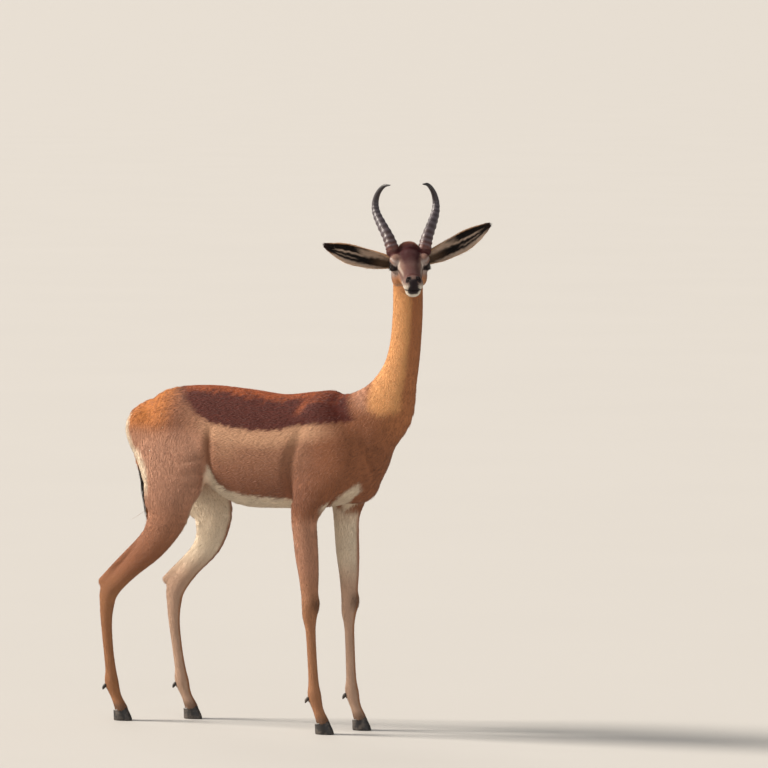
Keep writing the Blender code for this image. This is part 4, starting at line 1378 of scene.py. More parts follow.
    @staticmethod
    def _hair(points: Array, normals: Array) -> tuple[Array, Array, Array]:
        """Returns the length and width of a tuft at each point, and how thick the coat is there."""
        bx, by, bz = in_space(points, BODY).T
        x, y, z = in_space(points, HEAD).T
        side, head = np.abs(y), headness(points)
        length = 0.0095 + 0.0050 * ramp(bz, 0.40, 0.68)
        length += 0.004 * ramp(-normals[:, 2], 0.3, 0.9) * ramp(bz, 0.58, 0.64) * fall(bz, 0.70, 0.80)
        length -= 0.0045 * ramp(bz, 1.00, 1.08)
        length -= 0.0025 * fall(bz, 0.05, 0.10)
        length += 0.006 * hump(bz, 0.385, 0.040) * ramp(normals[:, 0], 0.3, 0.8) * ramp(bx, -0.20, -0.10)
        tail = fall(np.abs(by), 0.014, 0.018) * ramp(-bx, 0.655, 0.665) * fall(bz, 0.725, 0.745)
        length += 0.045 * tail * ramp(bz, 0.58, 0.60)
        face = 0.0062 - 0.0018 * ramp(x, 15.0, 20.0) + 0.006 * hump(x, 4.8, 3.5) * ramp(z, 2.6, 3.6)
        length = length * (1 - head) + face * head
        length = length * (1 - 0.5 * eye_nearness(points))
        width = np.clip(length * 0.14, 0.0007, 0.0022)
        amount = np.ones(len(points))
        amount *= ramp(gap(x, side, z, EYE_AT), EYE_RADIUS + 0.14, EYE_RADIUS + 0.32)
        amount *= ramp(gap(x, side, z, (23.9, 1.45, -3.75)), 0.55, 0.95)
        crease = LipLines().off_mouth(x, z)
        amount *= 1 - fall(crease, 0.08, 0.2) * ramp(x, 16.8, 17.4) * head
        amount *= ramp(gap(x, side, z, (6.0, 4.6, 3.6), squeeze=0.7), 1.2, 1.7)
        return length, width, amount

    @staticmethod
    def _parts(points: Array) -> Array:
        """Returns the number of the part that each point belongs to."""
        x, y, z = in_space(points, BODY).T
        part = np.where(x > -0.28, Part.TRUNK_FRONT.value, Part.TRUNK_BACK.value)
        part[up_the_neck(x, z) > 0] = Part.NECK.value
        head = headness(points) > 0.5
        left = in_space(points, HEAD)[:, 1] > 0
        part[head & left] = Part.HEAD_LEFT.value
        part[head & ~left] = Part.HEAD_RIGHT.value
        part[(z < 0.615) & (x > -0.3)] = Part.FORELEGS.value
        part[(z < 0.70) & (x < -0.33) & ~((x < -0.66) & (np.abs(y) < 0.02))] = Part.HIND_LEGS_UPPER.value
        part[(z < 0.44) & (x < -0.3)] = Part.HIND_LEGS_LOWER.value
        part[(z > 0.58) & (z < 0.735) & (x < -0.655) & (np.abs(y) < 0.016)] = Part.TAIL_TUFT.value
        return part.astype(np.int32)


def unwrap(thing: Object, name: str) -> None:
    """Lays the object's own shape out flat in a UV map of this name."""
    thing.data.uv_layers.new(name=name)
    bpy.context.view_layer.objects.active = thing
    for other in bpy.context.selected_objects:
        other.select_set(False)
    thing.select_set(True)
    bpy.ops.object.mode_set(mode="EDIT")
    bpy.ops.mesh.select_all(action="SELECT")
    bpy.ops.uv.smart_project(angle_limit=math.radians(66), island_margin=0.002)
    bpy.ops.object.mode_set(mode="OBJECT")
    thing.select_set(False)


# ---------------------------------------------------------------- the coat
PATCH = 0.003  # across one tuft's patch on the unwrap


class TuftTree:
    """A Geometry Nodes tree that grows tufts of hair along the lie stored on a mesh."""

    def __init__(self, name: str, segments: int) -> None:
        """Builds the tree.

        Args:
            name: the tree's name.
            segments: the number of lengths from a tuft's root to its tip.
        """
        self.tree = bpy.data.node_groups.new(name, "GeometryNodeTree")
        self.graph = Graph(self.tree)
        face = self.tree.interface
        face.new_socket("Geometry", in_out="INPUT", socket_type="NodeSocketGeometry")
        for socket in ("Coverage", "Length", "Width", "Rise", "Droop", "Spread"):
            face.new_socket(socket, in_out="INPUT", socket_type="NodeSocketFloat")
        for socket in ("Part", "Seed"):
            face.new_socket(socket, in_out="INPUT", socket_type="NodeSocketInt")
        face.new_socket("Material", in_out="INPUT", socket_type="NodeSocketMaterial")
        face.new_socket("Geometry", in_out="OUTPUT", socket_type="NodeSocketGeometry")
        self.inputs = self.tree.nodes.new("NodeGroupInput").outputs
        self._build(segments)

    def _named(self, name: str, kind: str = "FLOAT") -> Socket:
        """Returns an attribute of the mesh by name."""
        return self.graph.add("GeometryNodeInputNamedAttribute", {"Name": name}, data_type=kind).outputs[0]

    def _random(self, low: float, high: float, more: int) -> Socket:
        """Returns a random number from low to high, from the tree's seed and one more number."""
        seed = self.graph.math("ADD", self.inputs["Seed"], float(more))
        node = self.graph.add("FunctionNodeRandomValue", data_type="FLOAT")
        node.inputs[2].default_value, node.inputs[3].default_value = low, high
        self.tree.links.new(seed, node.inputs["Seed"])
        return node.outputs[1]

    def _build(self, segments: int) -> None:
        """Adds and joins the tree's nodes."""
        graph, named = self.graph, self._named
        length, width = named("hair_length"), named("hair_width")
        part = graph.add("FunctionNodeCompare", data_type="INT", operation="EQUAL")
        self.tree.links.new(named("part", "INT"), part.inputs[2])
        self.tree.links.new(self.inputs["Part"], part.inputs[3])
        area = graph.math("MAXIMUM", graph.product(length, width), 1e-7)
        covered = graph.product(self.inputs["Coverage"], named("hair_amount"))
        roots = graph.add("GeometryNodeDistributePointsOnFaces", {
            "Mesh": self.inputs["Geometry"], "Selection": part.outputs[0],
            "Density": graph.math("DIVIDE", covered, area), "Seed": self.inputs["Seed"],
        })
        aligned = graph.add("FunctionNodeAxesToRotation", {
            "Primary Axis": roots.outputs["Normal"], "Secondary Axis": named("lie", "FLOAT_VECTOR"),
        }, primary_axis="Z", secondary_axis="X")
        turns = graph.add("ShaderNodeCombineXYZ", {
            0: self._random(-0.25, 0.25, 1),
            1: graph.product(self.inputs["Spread"], self._random(-0.30, 0.18, 2)),
            2: graph.product(self.inputs["Spread"], self._random(-1.0, 1.0, 3)),
        })
        jitter = graph.add("FunctionNodeEulerToRotation", {0: turns.outputs[0]})
        turned = graph.add("FunctionNodeRotateRotation", {
            "Rotation": aligned.outputs[0], "Rotate By": jitter.outputs[0],
        }, rotation_space="LOCAL")
        long = graph.product(length, self.inputs["Length"], self._random(0.7, 1.3, 4))
        wide = graph.product(width, self.inputs["Width"], self._random(0.75, 1.25, 5))
        high = graph.product(long, self.inputs["Rise"])
        size = graph.add("ShaderNodeCombineXYZ", {0: long, 1: wide, 2: high})
        copies = graph.add("GeometryNodeInstanceOnPoints", {
            "Points": roots.outputs["Points"], "Instance": self._tuft(segments),
            "Rotation": turned.outputs[0], "Scale": size.outputs[0],
        })
        toned = graph.add("GeometryNodeStoreNamedAttribute", {
            "Geometry": copies.outputs[0], "Name": "tone", "Value": self._random(0.0, 1.0, 6),
        }, data_type="FLOAT", domain="INSTANCE")
        joined = graph.add("GeometryNodeRealizeInstances", {"Geometry": toned.outputs[0]})
        patch = graph.add("ShaderNodeVectorMath", {
            0: named("patch", "FLOAT_VECTOR"), 1: (PATCH, PATCH, 0),
        }, operation="MULTIPLY")
        place = graph.add("ShaderNodeVectorMath", {
            0: named("unwrapped", "FLOAT_VECTOR"), 1: patch.outputs[0],
        }, operation="ADD")
        laid = graph.add("GeometryNodeStoreNamedAttribute", {
            "Geometry": joined.outputs[0], "Name": "OFBake", "Value": place.outputs[0],
        }, data_type="FLOAT2", domain="CORNER")
        dressed = graph.add("GeometryNodeSetMaterial", {
            "Geometry": laid.outputs[0], "Material": self.inputs["Material"],
        })
        out = self.tree.nodes.new("NodeGroupOutput")
        self.tree.links.new(dressed.outputs[0], out.inputs[0])

    def _tuft(self, segments: int) -> Socket:
        """Returns one tuft of unit size: a three-sided leaf along X that rises and comes down again."""
        graph = self.graph
        cone = graph.add("GeometryNodeMeshCone", {
            "Vertices": 3, "Side Segments": segments,
            "Radius Top": 0.0, "Radius Bottom": 1.0, "Depth": 1.0,
        }, fill_type="NGON")
        place = graph.add("GeometryNodeInputPosition").outputs[0]
        parts = graph.add("ShaderNodeSeparateXYZ", {0: place}).outputs
        along = parts[2]
        swell = graph.math("ADD", 0.30, graph.product(along, 1.1))
        down = graph.product(along, along, self.inputs["Droop"])
        rise = graph.math("SUBTRACT", graph.product(along, 2.0), down)
        flat = graph.product(parts[0], swell, 0.16)
        moved = graph.add("ShaderNodeCombineXYZ", {
            0: along,
            1: graph.product(parts[1], swell, 0.58),
            2: graph.math("ADD", rise, graph.math("SUBTRACT", flat, 0.10)),
        })
        marked = graph.add("GeometryNodeStoreNamedAttribute", {
            "Geometry": cone.outputs["Mesh"], "Name": "along", "Value": along,
        }, data_type="FLOAT", domain="POINT")
        half = graph.add("ShaderNodeCombineXYZ", {
            0: graph.math("SUBTRACT", along, 0.5), 1: graph.product(parts[1], 0.5),
        })
        patched = graph.add("GeometryNodeStoreNamedAttribute", {
            "Geometry": marked.outputs[0], "Name": "patch", "Value": half.outputs[0],
        }, data_type="FLOAT_VECTOR", domain="POINT")
        bent = graph.add("GeometryNodeSetPosition", {
            "Geometry": patched.outputs[0], "Position": moved.outputs[0],
        })
        return bent.outputs[0]


@dataclass
class Coat:
    """Tufts of hair on one mesh, in pieces that each cover one part of it."""

    tree: TuftTree
    material: Material
    coverage: float = 1.72
    length: float = 1.0
    width: float = 1.0
    rise: float = 0.065
    droop: float = 1.3
    spread: float = 0.20

    def grow(self, name: str, skin: Object, part: int, seed: int) -> Object:
        """Returns a plain mesh of the tufts on one part of the skin.

        Args:
            name: the new piece's name.
            skin: the mesh that carries the lie and the measures of the coat.
            part: the number of the part, as the skin's faces have it.
            seed: what the random numbers start from.
        """
        carrier = bpy.data.objects.new(name, skin.data)
        bpy.context.scene.collection.objects.link(carrier)
        grower = carrier.modifiers.new("Tufts", "NODES")
        grower.node_group = self.tree.tree
        wanted = {
            "Coverage": self.coverage, "Length": self.length, "Width": self.width, "Rise": self.rise,
            "Droop": self.droop, "Spread": self.spread, "Part": part, "Seed": seed, "Material": self.material,
        }
        for item in self.tree.tree.interface.items_tree:
            if item.in_out == "INPUT" and item.name in wanted:
                grower[item.identifier] = wanted[item.name]
        apply_modifiers(carrier)
        mesh = carrier.data
        for spare in ("unwrapped", "lie", "patch", "hair_length", "hair_width", "hair_amount", "part"):
            if spare in mesh.attributes:
                mesh.attributes.remove(mesh.attributes[spare])
        shade_smooth(mesh)
        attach(carrier, BODY_ROW)
        log.info("%s: %d faces", name, len(mesh.polygons))
        return carrier


# ---------------------------------------------------------------- pieces that stay apart
def loft(rings: list, name: str) -> Object:
    """Returns a closed form over rings of places that all have the same number of places."""
    form = bmesh.new()
    loops = [[form.verts.new(place) for place in ring] for ring in rings]
    count = len(loops[0])
    for a, b in zip(loops, loops[1:]):
        for k in range(count):
            form.faces.new((a[k], a[(k + 1) % count], b[(k + 1) % count], b[k]))
    form.faces.new(loops[0][::-1])
    form.faces.new(loops[-1])
    return object_from(form, name)


def joined(things: list, name: str) -> Object:
    """Returns one object made of several, which are used up."""
    form = bmesh.new()
    for thing in things:
        form.from_mesh(thing.data)
        bpy.data.objects.remove(thing, do_unlink=True)
    return object_from(form, name)


@dataclass(frozen=True)
class EarColours:
    """The colours of an ear, from its back to the lines of hair inside it."""

    back: str = "a8764e"
    foot: str = "cdb091"
    outer_part: str = "5b3a2a"
    hollow: str = "130d0b"
    stripe: str = "cbb29e"
    rim: str = "d2b294"
    tip: str = "2a1a16"


@dataclass
class Ear:
    """A leaf rolled to a tube at its foot and open towards its tip, with a thin rim."""

    word: str
    foot: tuple
    length: float
    axis: tuple
    opening: tuple
    shape: tuple = (  # along the ear, half the width of the leaf, half the angle that it is rolled to
        (0.00, 3.8, 140), (0.16, 4.0, 114), (0.36, 3.8, 84), (0.58, 3.5, 62),
        (0.78, 2.6, 50), (0.92, 1.4, 42), (1.00, 0.5, 36),
    )
    upwards: int = 1  # the way across the leaf in which it points up
    sweep: float = 1.3
    thickness: float = 0.26
    rows: int = 64
    columns: int = 30

    def build(self) -> Object:
        """Returns the ear with its markings and the measures of its coat."""
        share = np.linspace(0, 1, self.rows)
        measures = curve_rows(self.shape, self.rows)
        half_width, roll = measures[:, 1:2], np.radians(measures[:, 2:3])
        across_share = np.linspace(-1, 1, self.columns + 1)[None, :]
        axis = Vector(self.axis).normalized()
        across = axis.cross(Vector(self.opening)).normalized()
        opening = across.cross(axis)
        curl, turn = half_width / roll, roll * across_share
        place = np.array(self.foot) + np.array(axis) * (self.length * measures[:, 0])[:, None, None]
        place = place + np.array(across) * (curl * np.sin(turn))[:, :, None]
        place = place + np.array(opening) * (curl * (1 - np.cos(turn)))[:, :, None]
        place = place + np.array((0, 0, self.sweep)) * (measures[:, 0] ** 3)[:, None, None]
        along = np.gradient(place, axis=0)
        normal = np.cross(along, np.gradient(place, axis=1))
        normal /= np.linalg.norm(normal, axis=2, keepdims=True)
        if normal[self.rows // 2, self.columns // 2] @ np.array(opening) < 0:
            normal = -normal
        half = self.thickness / 2 * (1 - 0.75 * np.abs(across_share[:, :, None]) ** 3)
        ripple = 0.06 * np.sin(9 * share * math.tau / 3)[:, None, None] * np.abs(across_share[:, :, None])
        inner, outer = place + normal * (half + ripple), place - normal * (half - ripple)
        rings = [[Vector(p) for p in np.r_[outer[i], inner[i][::-1]]] for i in range(self.rows)]
        ear = loft([[HEAD @ p for p in ring] for ring in rings], "ear_leaf_" + self.word)
        u = np.tile(np.r_[across_share[0], across_share[0][::-1]], self.rows)
        inside = np.tile(np.r_[np.zeros(self.columns + 1), np.ones(self.columns + 1)], self.rows)
        s = np.repeat(measures[:, 0], 2 * (self.columns + 1))
        way = np.concatenate([along, along[:, ::-1]], axis=1).reshape(-1, 3) @ np.array(HEAD.to_3x3()).T
        self._dress(ear.data, s, u, inside, way)
        return ear

    def _dress(self, mesh: Mesh, s: Array, u: Array, inside: Array, way: Array) -> None:
        """Stores the colours and the hair's measures, from the places along (s) and across (u) the ear."""
        points = mesh_points(mesh)
        side = np.abs(u) + wobble(points, 0.014, 2.0) * 0.05
        codes = EarColours()
        colour = np.tile(linear(codes.back), (len(s), 1))
        lay = painter(colour)
        up = u * self.upwards + wobble(points, 0.030, 7.0) * 0.06
        ragged = wobble(points, 0.05, 4.0) * 0.07
        lay(codes.foot, fall(s, 0.10, 0.45) * 0.6)
        lay(codes.outer_part, ramp(s, 0.72, 0.97) * 0.9)
        lay(codes.hollow, inside * fall(side, 0.76, 0.90) * (0.75 + 0.25 * ramp(s, 0.1, 0.4)))
        near = ramp(up, -0.12, 0.18) * fall(s + ragged + 0.15 * up, 0.40, 0.62) * ramp(s, 0.02, 0.10)
        line = hump(up, 0.04, 0.14) * ramp(s, 0.38, 0.50) * fall(s + ragged, 0.78, 0.90)
        thin = hump(up, -0.36, 0.09) * ramp(s, 0.48, 0.60) * fall(s + ragged, 0.76, 0.86)
        low = ramp(-up, 0.54, 0.70) * ramp(s, 0.08, 0.20) * fall(s + ragged, 0.82, 0.96)
        stripe = np.maximum(np.maximum(near, line), np.maximum(low, 0.7 * thin))
        lay(codes.stripe, inside * stripe)
        lay(codes.rim, inside * ramp(side, 0.86, 0.96) * fall(s, 0.80, 0.95))
        lay(codes.tip, ramp(s, 0.90, 0.98) * 0.8)
        store(mesh, "coat_colour", np.c_[colour, np.ones(len(s))])
        store(mesh, "lie", way / np.linalg.norm(way, axis=1, keepdims=True))
        length = 0.0055 + 0.003 * ramp(side, 0.85, 1.0) + inside * (0.0105 * stripe + 0.001)
        store(mesh, "hair_length", length)
        store(mesh, "hair_width", np.clip(length * 0.14, 0.0007, 0.0014))
        edge = ramp(side, 0.75, 0.9)
        amount = 0.5 * inside * (1 - stripe) * (1 - edge) + (1 - inside)
        store(mesh, "hair_amount", amount + inside * np.maximum(stripe, edge))
        store(mesh, "part", np.zeros(len(mesh.polygons), np.int32), "FACE")
        shade_smooth(mesh)


@dataclass
class Eye:
    """A moist eyeball with a bulging cornea, a dark brown iris and a level pupil."""

    side: int
    around: int = 56
    rings: int = 40
    bulge: float = 0.07
    iris: float = 1.18
    pupil: tuple = (0.74, 0.38)
    white: str = "1d1411"
    iris_colour: str = "20120c"
    iris_rim: str = "120b09"
    pupil_colour: str = "060404"

    def build(self) -> Object:
        """Returns the eyeball with its tint."""
        opening = LidOpening(self.side)
        form = bmesh.new()
        pole = Matrix.Rotation(math.radians(90), 4, "Y")
        bmesh.ops.create_uvsphere(
            form, u_segments=self.around, v_segments=self.rings, radius=EYE_RADIUS, matrix=pole
        )
        local = np.array([corner.co for corner in form.verts])
        off = np.hypot(local[:, 1], local[:, 2])
        front = local[:, 0] > 0
        local[:, 0] += self.bulge * fall(off, 0.0, self.iris + 0.1) * front
        for corner, place in zip(form.verts, local):
            corner.co = opening.place @ Vector(place)
        eye = object_from(form, "eye_ball_" + SIDES[self.side])
        tint = np.tile(linear(self.white), (len(local), 1))
        lay = painter(tint)
        lay(self.iris_colour, fall(off, self.iris - 0.1, self.iris) * front)
        lay(self.iris_rim, hump(off, self.iris, 0.16) * front)
        hole = np.hypot(local[:, 1] / self.pupil[0], local[:, 2] / self.pupil[1])
        lay(self.pupil_colour, fall(hole, 0.85, 1.1) * front)
        store(eye.data, "tint", np.c_[tint, np.ones(len(tint))])
        shade_smooth(eye.data)
        return eye


@dataclass
class Lashes:
    """Short dark lashes along both upper lids."""

    count: int = 30
    length: float = 0.75
    thickness: float = 0.045
    steps: int = 4
    curl: float = 0.30

    def build(self) -> Object:
        """Returns all the lashes as one mesh."""
        form = bmesh.new()
        for side in SIDES:
            opening = LidOpening(side)
            radius = (opening.upper**2 + opening.half_length**2) / (2 * opening.upper)
            for k in range(self.count):
                ahead = opening.half_length * (-0.92 + 1.80 * k / (self.count - 1))
                up = math.sqrt(radius**2 - ahead**2) - (radius - opening.upper)
                out = math.sqrt(max((EYE_RADIUS + 0.16) ** 2 - ahead**2 - up**2, 0.01))
                root = Vector((out, ahead, up))
                lean = Vector((0.35, -0.25 + 0.2 * math.sin(7.0 * k), 0.10))
                way = (root.normalized() * 0.8 + lean).normalized()
                at_ends = 1 - 0.4 * (ahead / opening.half_length) ** 2
                size = self.length * (0.75 + 0.25 * math.sin(3.7 * k)) * at_ends
                self._lash(form, opening.place, root, way, size)
        return object_from(form, "lashes")

    def _lash(self, form: BMesh, space: Matrix, root: Vector, way: Vector, size: float) -> None:
        """Adds one curved, tapering lash."""
        across = way.cross(Vector((0, 0, 1))).normalized()
        lift = across.cross(way) * -1
        loops = []
        corners = ((1, 0), (-0.5, 0.87), (-0.5, -0.87))
        for step in range(self.steps):
            share = step / self.steps
            middle = root + way * size * share - lift * size * self.curl * share**2
            width = self.thickness * (1 - share)
            places = [middle + (across * a + lift * b) * width for a, b in corners]
            loops.append([form.verts.new(space @ place) for place in places])
        tip = form.verts.new(space @ (root + way * size - lift * size * self.curl))
        for a, b in zip(loops, loops[1:]):
            for k in range(3):
                form.faces.new((a[k], a[(k + 1) % 3], b[(k + 1) % 3], b[k]))
        for k in range(3):
            form.faces.new((loops[-1][k], loops[-1][(k + 1) % 3], tip))
        form.faces.new(loops[0][::-1])


@dataclass
class Horn:
    """A lyre-shaped horn: thick rings round its lower part, and a smooth dark tip."""

    side: int
    line: tuple = (
        (6.7, 3.7, 1.4, 1.5), (6.0, 4.5, 3.4, 1.95), (4.4, 5.4, 6.2, 1.75), (1.4, 7.0, 9.6, 1.5),
        (-1.4, 8.2, 12.6, 1.25), (-2.4, 8.4, 15.4, 1.02), (-1.3, 7.6, 18.2, 0.78), (1.2, 6.1, 20.2, 0.52),
        (3.4, 4.5, 20.6, 0.14),
    )
    rings: int = 13
    ringed_part: float = 0.70
    ridge: float = 0.075
    flatness: float = 0.92
    steps: int = 220
    section: int = 32
    tints: tuple = (  # share of the length, colour
        (0.10, "5a2c20"), (0.20, "3c2422"), (0.36, "382e32"),
        (0.62, "362e33"), (0.85, "221d20"), (1.0, "151214"),
    )
    crest_tint: str = "756c74"
    crest_share: float = 0.38

    def build(self) -> Object:
        """Returns the horn with its tint."""
        rows = curve_rows(self.line, self.steps + 1)
        places = [Vector((x, self.side * y, z)) for x, y, z, _ in rows]
        share = np.linspace(0, 1, self.steps + 1)
        beat = share / self.ringed_part * self.rings
        crest = (0.5 - 0.5 * np.cos(math.tau * beat)) ** 1.6
        strong = ramp(share, 0.06, 0.14) * fall(share, self.ringed_part - 0.22, self.ringed_part + 0.02)
        loops, tints = [], []
        for i, place in enumerate(places):
            ahead = (places[min(i + 1, self.steps)] - places[max(i - 1, 0)]).normalized()
            across = ahead.cross(Vector((0, 1, 0))).normalized()
            other = ahead.cross(across)
            loop = []
            for k in range(self.section):
                angle = math.tau * k / self.section
                fronted = 0.65 + 0.35 * math.cos(angle)
                grow = 1 + self.ridge * strong[i] * (2.0 * crest[i] * fronted - 0.8)
                grow += 0.012 * math.sin(5 * angle + 1.3) * strong[i]
                radius = rows[i][3] * grow
                wide = across * math.cos(angle) * radius
                deep = other * math.sin(angle) * radius * self.flatness
                loop.append(HEAD @ (place + wide + deep))
            loops.append(loop)
            tints += [self._tint(share[i], crest[i] * strong[i])] * self.section
        horn = loft(loops, "horn_sheath_" + SIDES[self.side])
        store(horn.data, "tint", np.c_[np.array(tints), np.ones(len(tints))])
        shade_smooth(horn.data)
        return horn

    def _tint(self, share: float, crest: float) -> Array:
        """Returns the colour at this share of the length, on a ring's crest or beside it."""
        shares, codes = zip(*self.tints)
        stops = np.array([linear(code) for code in codes])
        colour = np.array([np.interp(share, shares, stops[:, k]) for k in range(3)])
        return colour * (1 - self.crest_share * crest) + linear(self.crest_tint) * self.crest_share * crest


@dataclass
class Hooves:
    """The two toes of each foot, and the small claws above them."""

    legs: LegForm
    length: float = 0.054
    width: float = 0.0185
    height: float = 0.034
    rise: float = 0.25
    ahead: float = 0.006
    outline: tuple = (
        (-0.42, 0.06), (-0.47, 0.45), (-0.36, 0.85), (-0.05, 1.0), (0.22, 0.86), (0.44, 0.45), (0.53, 0.06),
    )
    levels: tuple = (  # share of the height, size, backward lean
        (0.0, 0.97, 0.0), (0.05, 1.02, 0.0), (0.30, 0.99, -0.03), (0.62, 0.88, -0.09), (1.0, 0.76, -0.17),
    )
    toe_gap: float = 0.0012
    claw_offset: tuple = (-0.016, 0.0095, -0.012)  # from the middle of the fetlock

    def toe(self, ankle: tuple, outwards: int, name: str) -> Object:
        """Returns one toe under the point of the floor at ankle."""
        rings = []
        outline = curve_rows(self.outline, 31)
        for step, (up, size, lean) in enumerate(curve_rows(self.levels, 17)):
            size *= 1 + 0.010 * math.sin(2.2 * step)
            ring = []
            for along, out in outline:
                x = ankle[0] + self.length * (along * size + lean)
                across = self.toe_gap + self.width * max(out, 0.06) * (0.3 + 0.7 * size)
                y = ankle[1] + outwards * across
                ring.append(BODY @ Vector((x, y, self.height * max(up, 0) * (1 + self.rise * along))))
            rings.append(ring)
        return loft(rings, name)

    def build(self) -> list:
        """Returns a piece for each foot, with the names of the nodes that it stands for."""
        found = []
        for front, foot in ((True, "front"), (False, "hind")):
            for side, word in SIDES.items():
                x, y, *_ = self.legs.stations(front, side)[-1]
                toes = [self.toe((x + self.ahead, y), way * side, f"toe_{way}") for way in (1, -1)]
                pair = joined(toes, f"hooves_{foot}_{word}")
                shade_smooth(pair.data)
                found.append((pair, [f"hoof_{foot}_{word}_{toe}" for toe in ("outer", "inner")]))
        return found

    def dewclaws(self) -> Object:
        """Returns the eight small claws behind the fetlocks as one mesh."""
        claws = []
        behind, apart, below = self.claw_offset
        for front in (True, False):
            for side in SIDES:
                x, y, z, *_ = self.legs.stations(front, side)[-3]
                for out in (-1, 1):
                    claws.append(self._claw(Vector((x + behind, y + out * apart, z + below)), out))
        made = joined(claws, "dewclaws")
        shade_smooth(made.data)
        return made

    @staticmethod
    def _claw(place: Vector, out: int) -> Object:
        """Returns one blunt claw that points down and back, and slightly to the side out."""
        rings = []
        for share in np.linspace(0, 1, 9):
            radius = 0.0068 * math.sin(math.pi * (0.30 + 0.66 * share)) ** 0.8
            middle = place + Vector((-0.009 * share, out * 0.002 * share, 0.007 - 0.018 * share))
            rings.append([
                BODY @ (middle + Vector((math.cos(a) * radius, math.sin(a) * radius * 0.75, 0)))
                for a in (math.tau * k / 14 for k in range(14))
            ])
        return loft(rings, "claw")


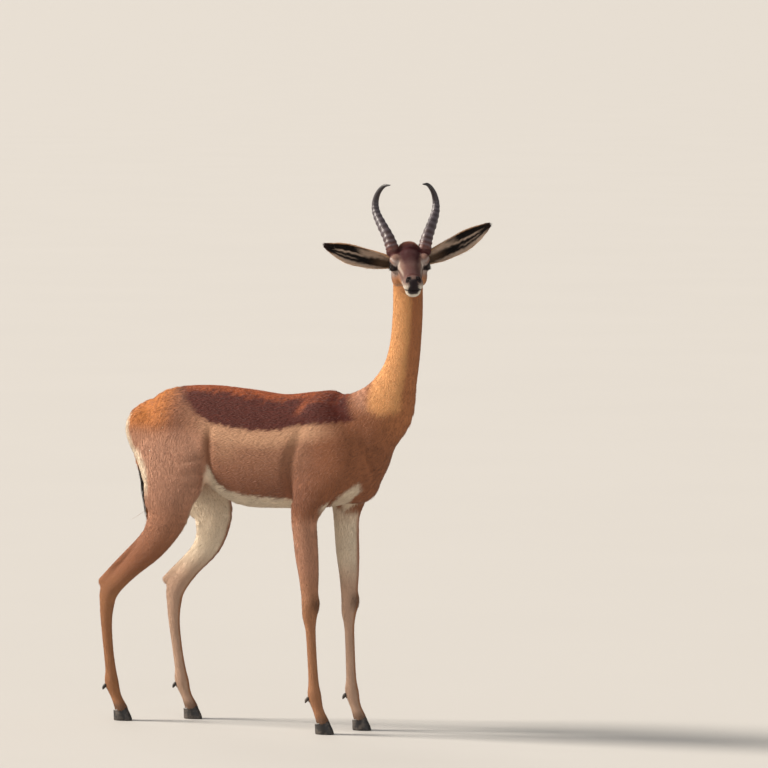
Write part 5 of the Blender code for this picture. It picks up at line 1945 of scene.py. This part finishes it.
# ---------------------------------------------------------------- studio
@dataclass
class Studio:
    """A plain pale floor, soft light from the upper left, and the camera."""

    heading: float = 28.0  # degrees from the animal's right side towards its head
    height: float = 4.0  # degrees above level
    distance: float = 16.0
    lens: float = 268.5
    look_at: tuple = (0.100, 0.053, 1.02)
    floor_size: float = 3000.0
    lights: tuple = (  # name, way to the right, up and level, degrees wide, strength, tint
        ("key", (-0.92, 0.56, -0.20), 15, 7.0, (1.0, 0.91, 0.80)),
        ("fill", (0.30, 0.40, 1.0), 50, 0.60, (1.0, 0.97, 0.95)),
        ("rim", (-0.35, 0.75, -0.85), 30, 0.6, (1.0, 0.95, 0.88)),
    )
    world_tint: tuple = (1.0, 0.985, 0.965, 1)
    world_strength: float = 0.36

    def build(self) -> None:
        """Makes the floor, the lights and the camera."""
        turn, tilt = math.radians(self.heading), math.radians(self.height)
        right = Vector((math.cos(turn), math.sin(turn), 0))
        back = Vector((math.sin(turn) * math.cos(tilt), -math.cos(turn) * math.cos(tilt), math.sin(tilt)))
        middle = BODY @ Vector(self.look_at)
        self._camera(middle, back)
        up = Vector((0, 0, 1))
        level = Vector((back.x, back.y, 0)).normalized()
        for name, (rightwards, upwards, towards), *rest in self.lights:
            self._light(name, right * rightwards + up * upwards + level * towards, *rest)
        self._floor()
        self._world()

    def _camera(self, middle: Vector, back: Vector) -> None:
        """Makes the camera and gives it to the scene."""
        lens = bpy.data.cameras.new("camera")
        lens.lens, lens.sensor_width = self.lens, 36.0
        lens.clip_end = 5000.0
        camera = bpy.data.objects.new("camera", lens)
        bpy.context.scene.collection.objects.link(camera)
        camera.location = middle + back * self.distance
        camera.rotation_euler = back.to_track_quat("Z", "Y").to_euler()
        bpy.context.scene.camera = camera

    @staticmethod
    def _light(name: str, way: Vector, softness: float, strength: float, colour: tuple) -> None:
        """Adds a broad, distant soft light.

        Args:
            name: the light's name.
            way: where it stands as seen from the animal.
            softness: how wide it looks from there, in degrees.
            strength: its strength on a face turned to it.
            colour: its tint.
        """
        lamp = bpy.data.lights.new(name, "SUN")
        lamp.angle, lamp.energy, lamp.color = math.radians(softness), strength, colour
        light = bpy.data.objects.new(name, lamp)
        bpy.context.scene.collection.objects.link(light)
        light.location = way.normalized() * 10
        light.rotation_euler = way.to_track_quat("Z", "Y").to_euler()

    def _floor(self) -> None:
        """Makes the floor."""
        form = bmesh.new()
        bmesh.ops.create_grid(form, x_segments=1, y_segments=1, size=self.floor_size / 2)
        floor = object_from(form, "floor")
        floor.data.materials.append(FloorFinish().material())

    def _world(self) -> None:
        """Gives the scene an even, pale surrounding light."""
        world = bpy.data.worlds.new("studio")
        world.use_nodes = True
        light = world.node_tree.nodes["Background"]
        light.inputs["Color"].default_value = self.world_tint
        light.inputs["Strength"].default_value = self.world_strength
        bpy.context.scene.world = world
        bpy.context.scene.view_settings.view_transform = "Standard"


# ---------------------------------------------------------------- main
def main() -> None:
    """Builds the hide, its coat, the pieces that stay apart and the studio, in that order."""
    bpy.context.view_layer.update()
    flesh, markings = Flesh(), Markings()
    hair = CoatFinish().material()
    skin_finish = HideFinish().material()
    hide_maker = Hide(flesh)
    hide = hide_maker.build()
    hide_maker.dress(hide, markings)
    unwrap(hide, "unwrapped")
    log.info("hide unwrapped")
    short = TuftTree("short_tufts", 2)
    coat = Coat(short, hair)
    long = Coat(TuftTree("long_tufts", 4), hair, coverage=9.0, rise=0.05, droop=1.2, spread=0.10)
    for part in Part:
        grower = long if part is Part.TAIL_TUFT else coat
        grower.grow("coat_" + part.name.lower(), hide, part.value, 11 + part.value)
    finished(hide, skin_finish, "coat", *hide_maker.replaced)

    ears = (
        Ear("left", (2.6, 3.6, -0.3), 21.2, (-0.10, 0.91, 0.36), (1, 0.10, -0.15), upwards=-1),
        Ear("right", (2.6, -3.6, -0.7), 20.0, (-0.10, -0.975, 0.185), (1, -0.15, -0.15)),
    )
    for ear_maker in ears:
        ear = ear_maker.build()
        unwrap(ear, "unwrapped")
        ear_coat = Coat(short, hair, coverage=1.6, rise=0.16, spread=0.35)
        ear_coat.grow("coat_ear_" + ear_maker.word, ear, 0, 31)
        finished(ear, skin_finish, "ear", "ear_" + ear_maker.word)

    eye_finish = EyeFinish().material()
    horn_finish = HornFinish().material()
    hoof_finish = HoofFinish().material()
    for side, word in SIDES.items():
        finished(Eye(side).build(), eye_finish, "eye", "eye_" + word)
        finished(Horn(side).build(), horn_finish, "horn", "horn_" + word)
    finished(Lashes().build(), LashFinish().material(), "tuft")
    hooves = Hooves(flesh.legs)
    for pair, nodes in hooves.build():
        finished(pair, hoof_finish, "hoof", *nodes)
    finished(hooves.dewclaws(), hoof_finish, "hoof")
    Studio().build()


if __name__ == "__main__":
    main()
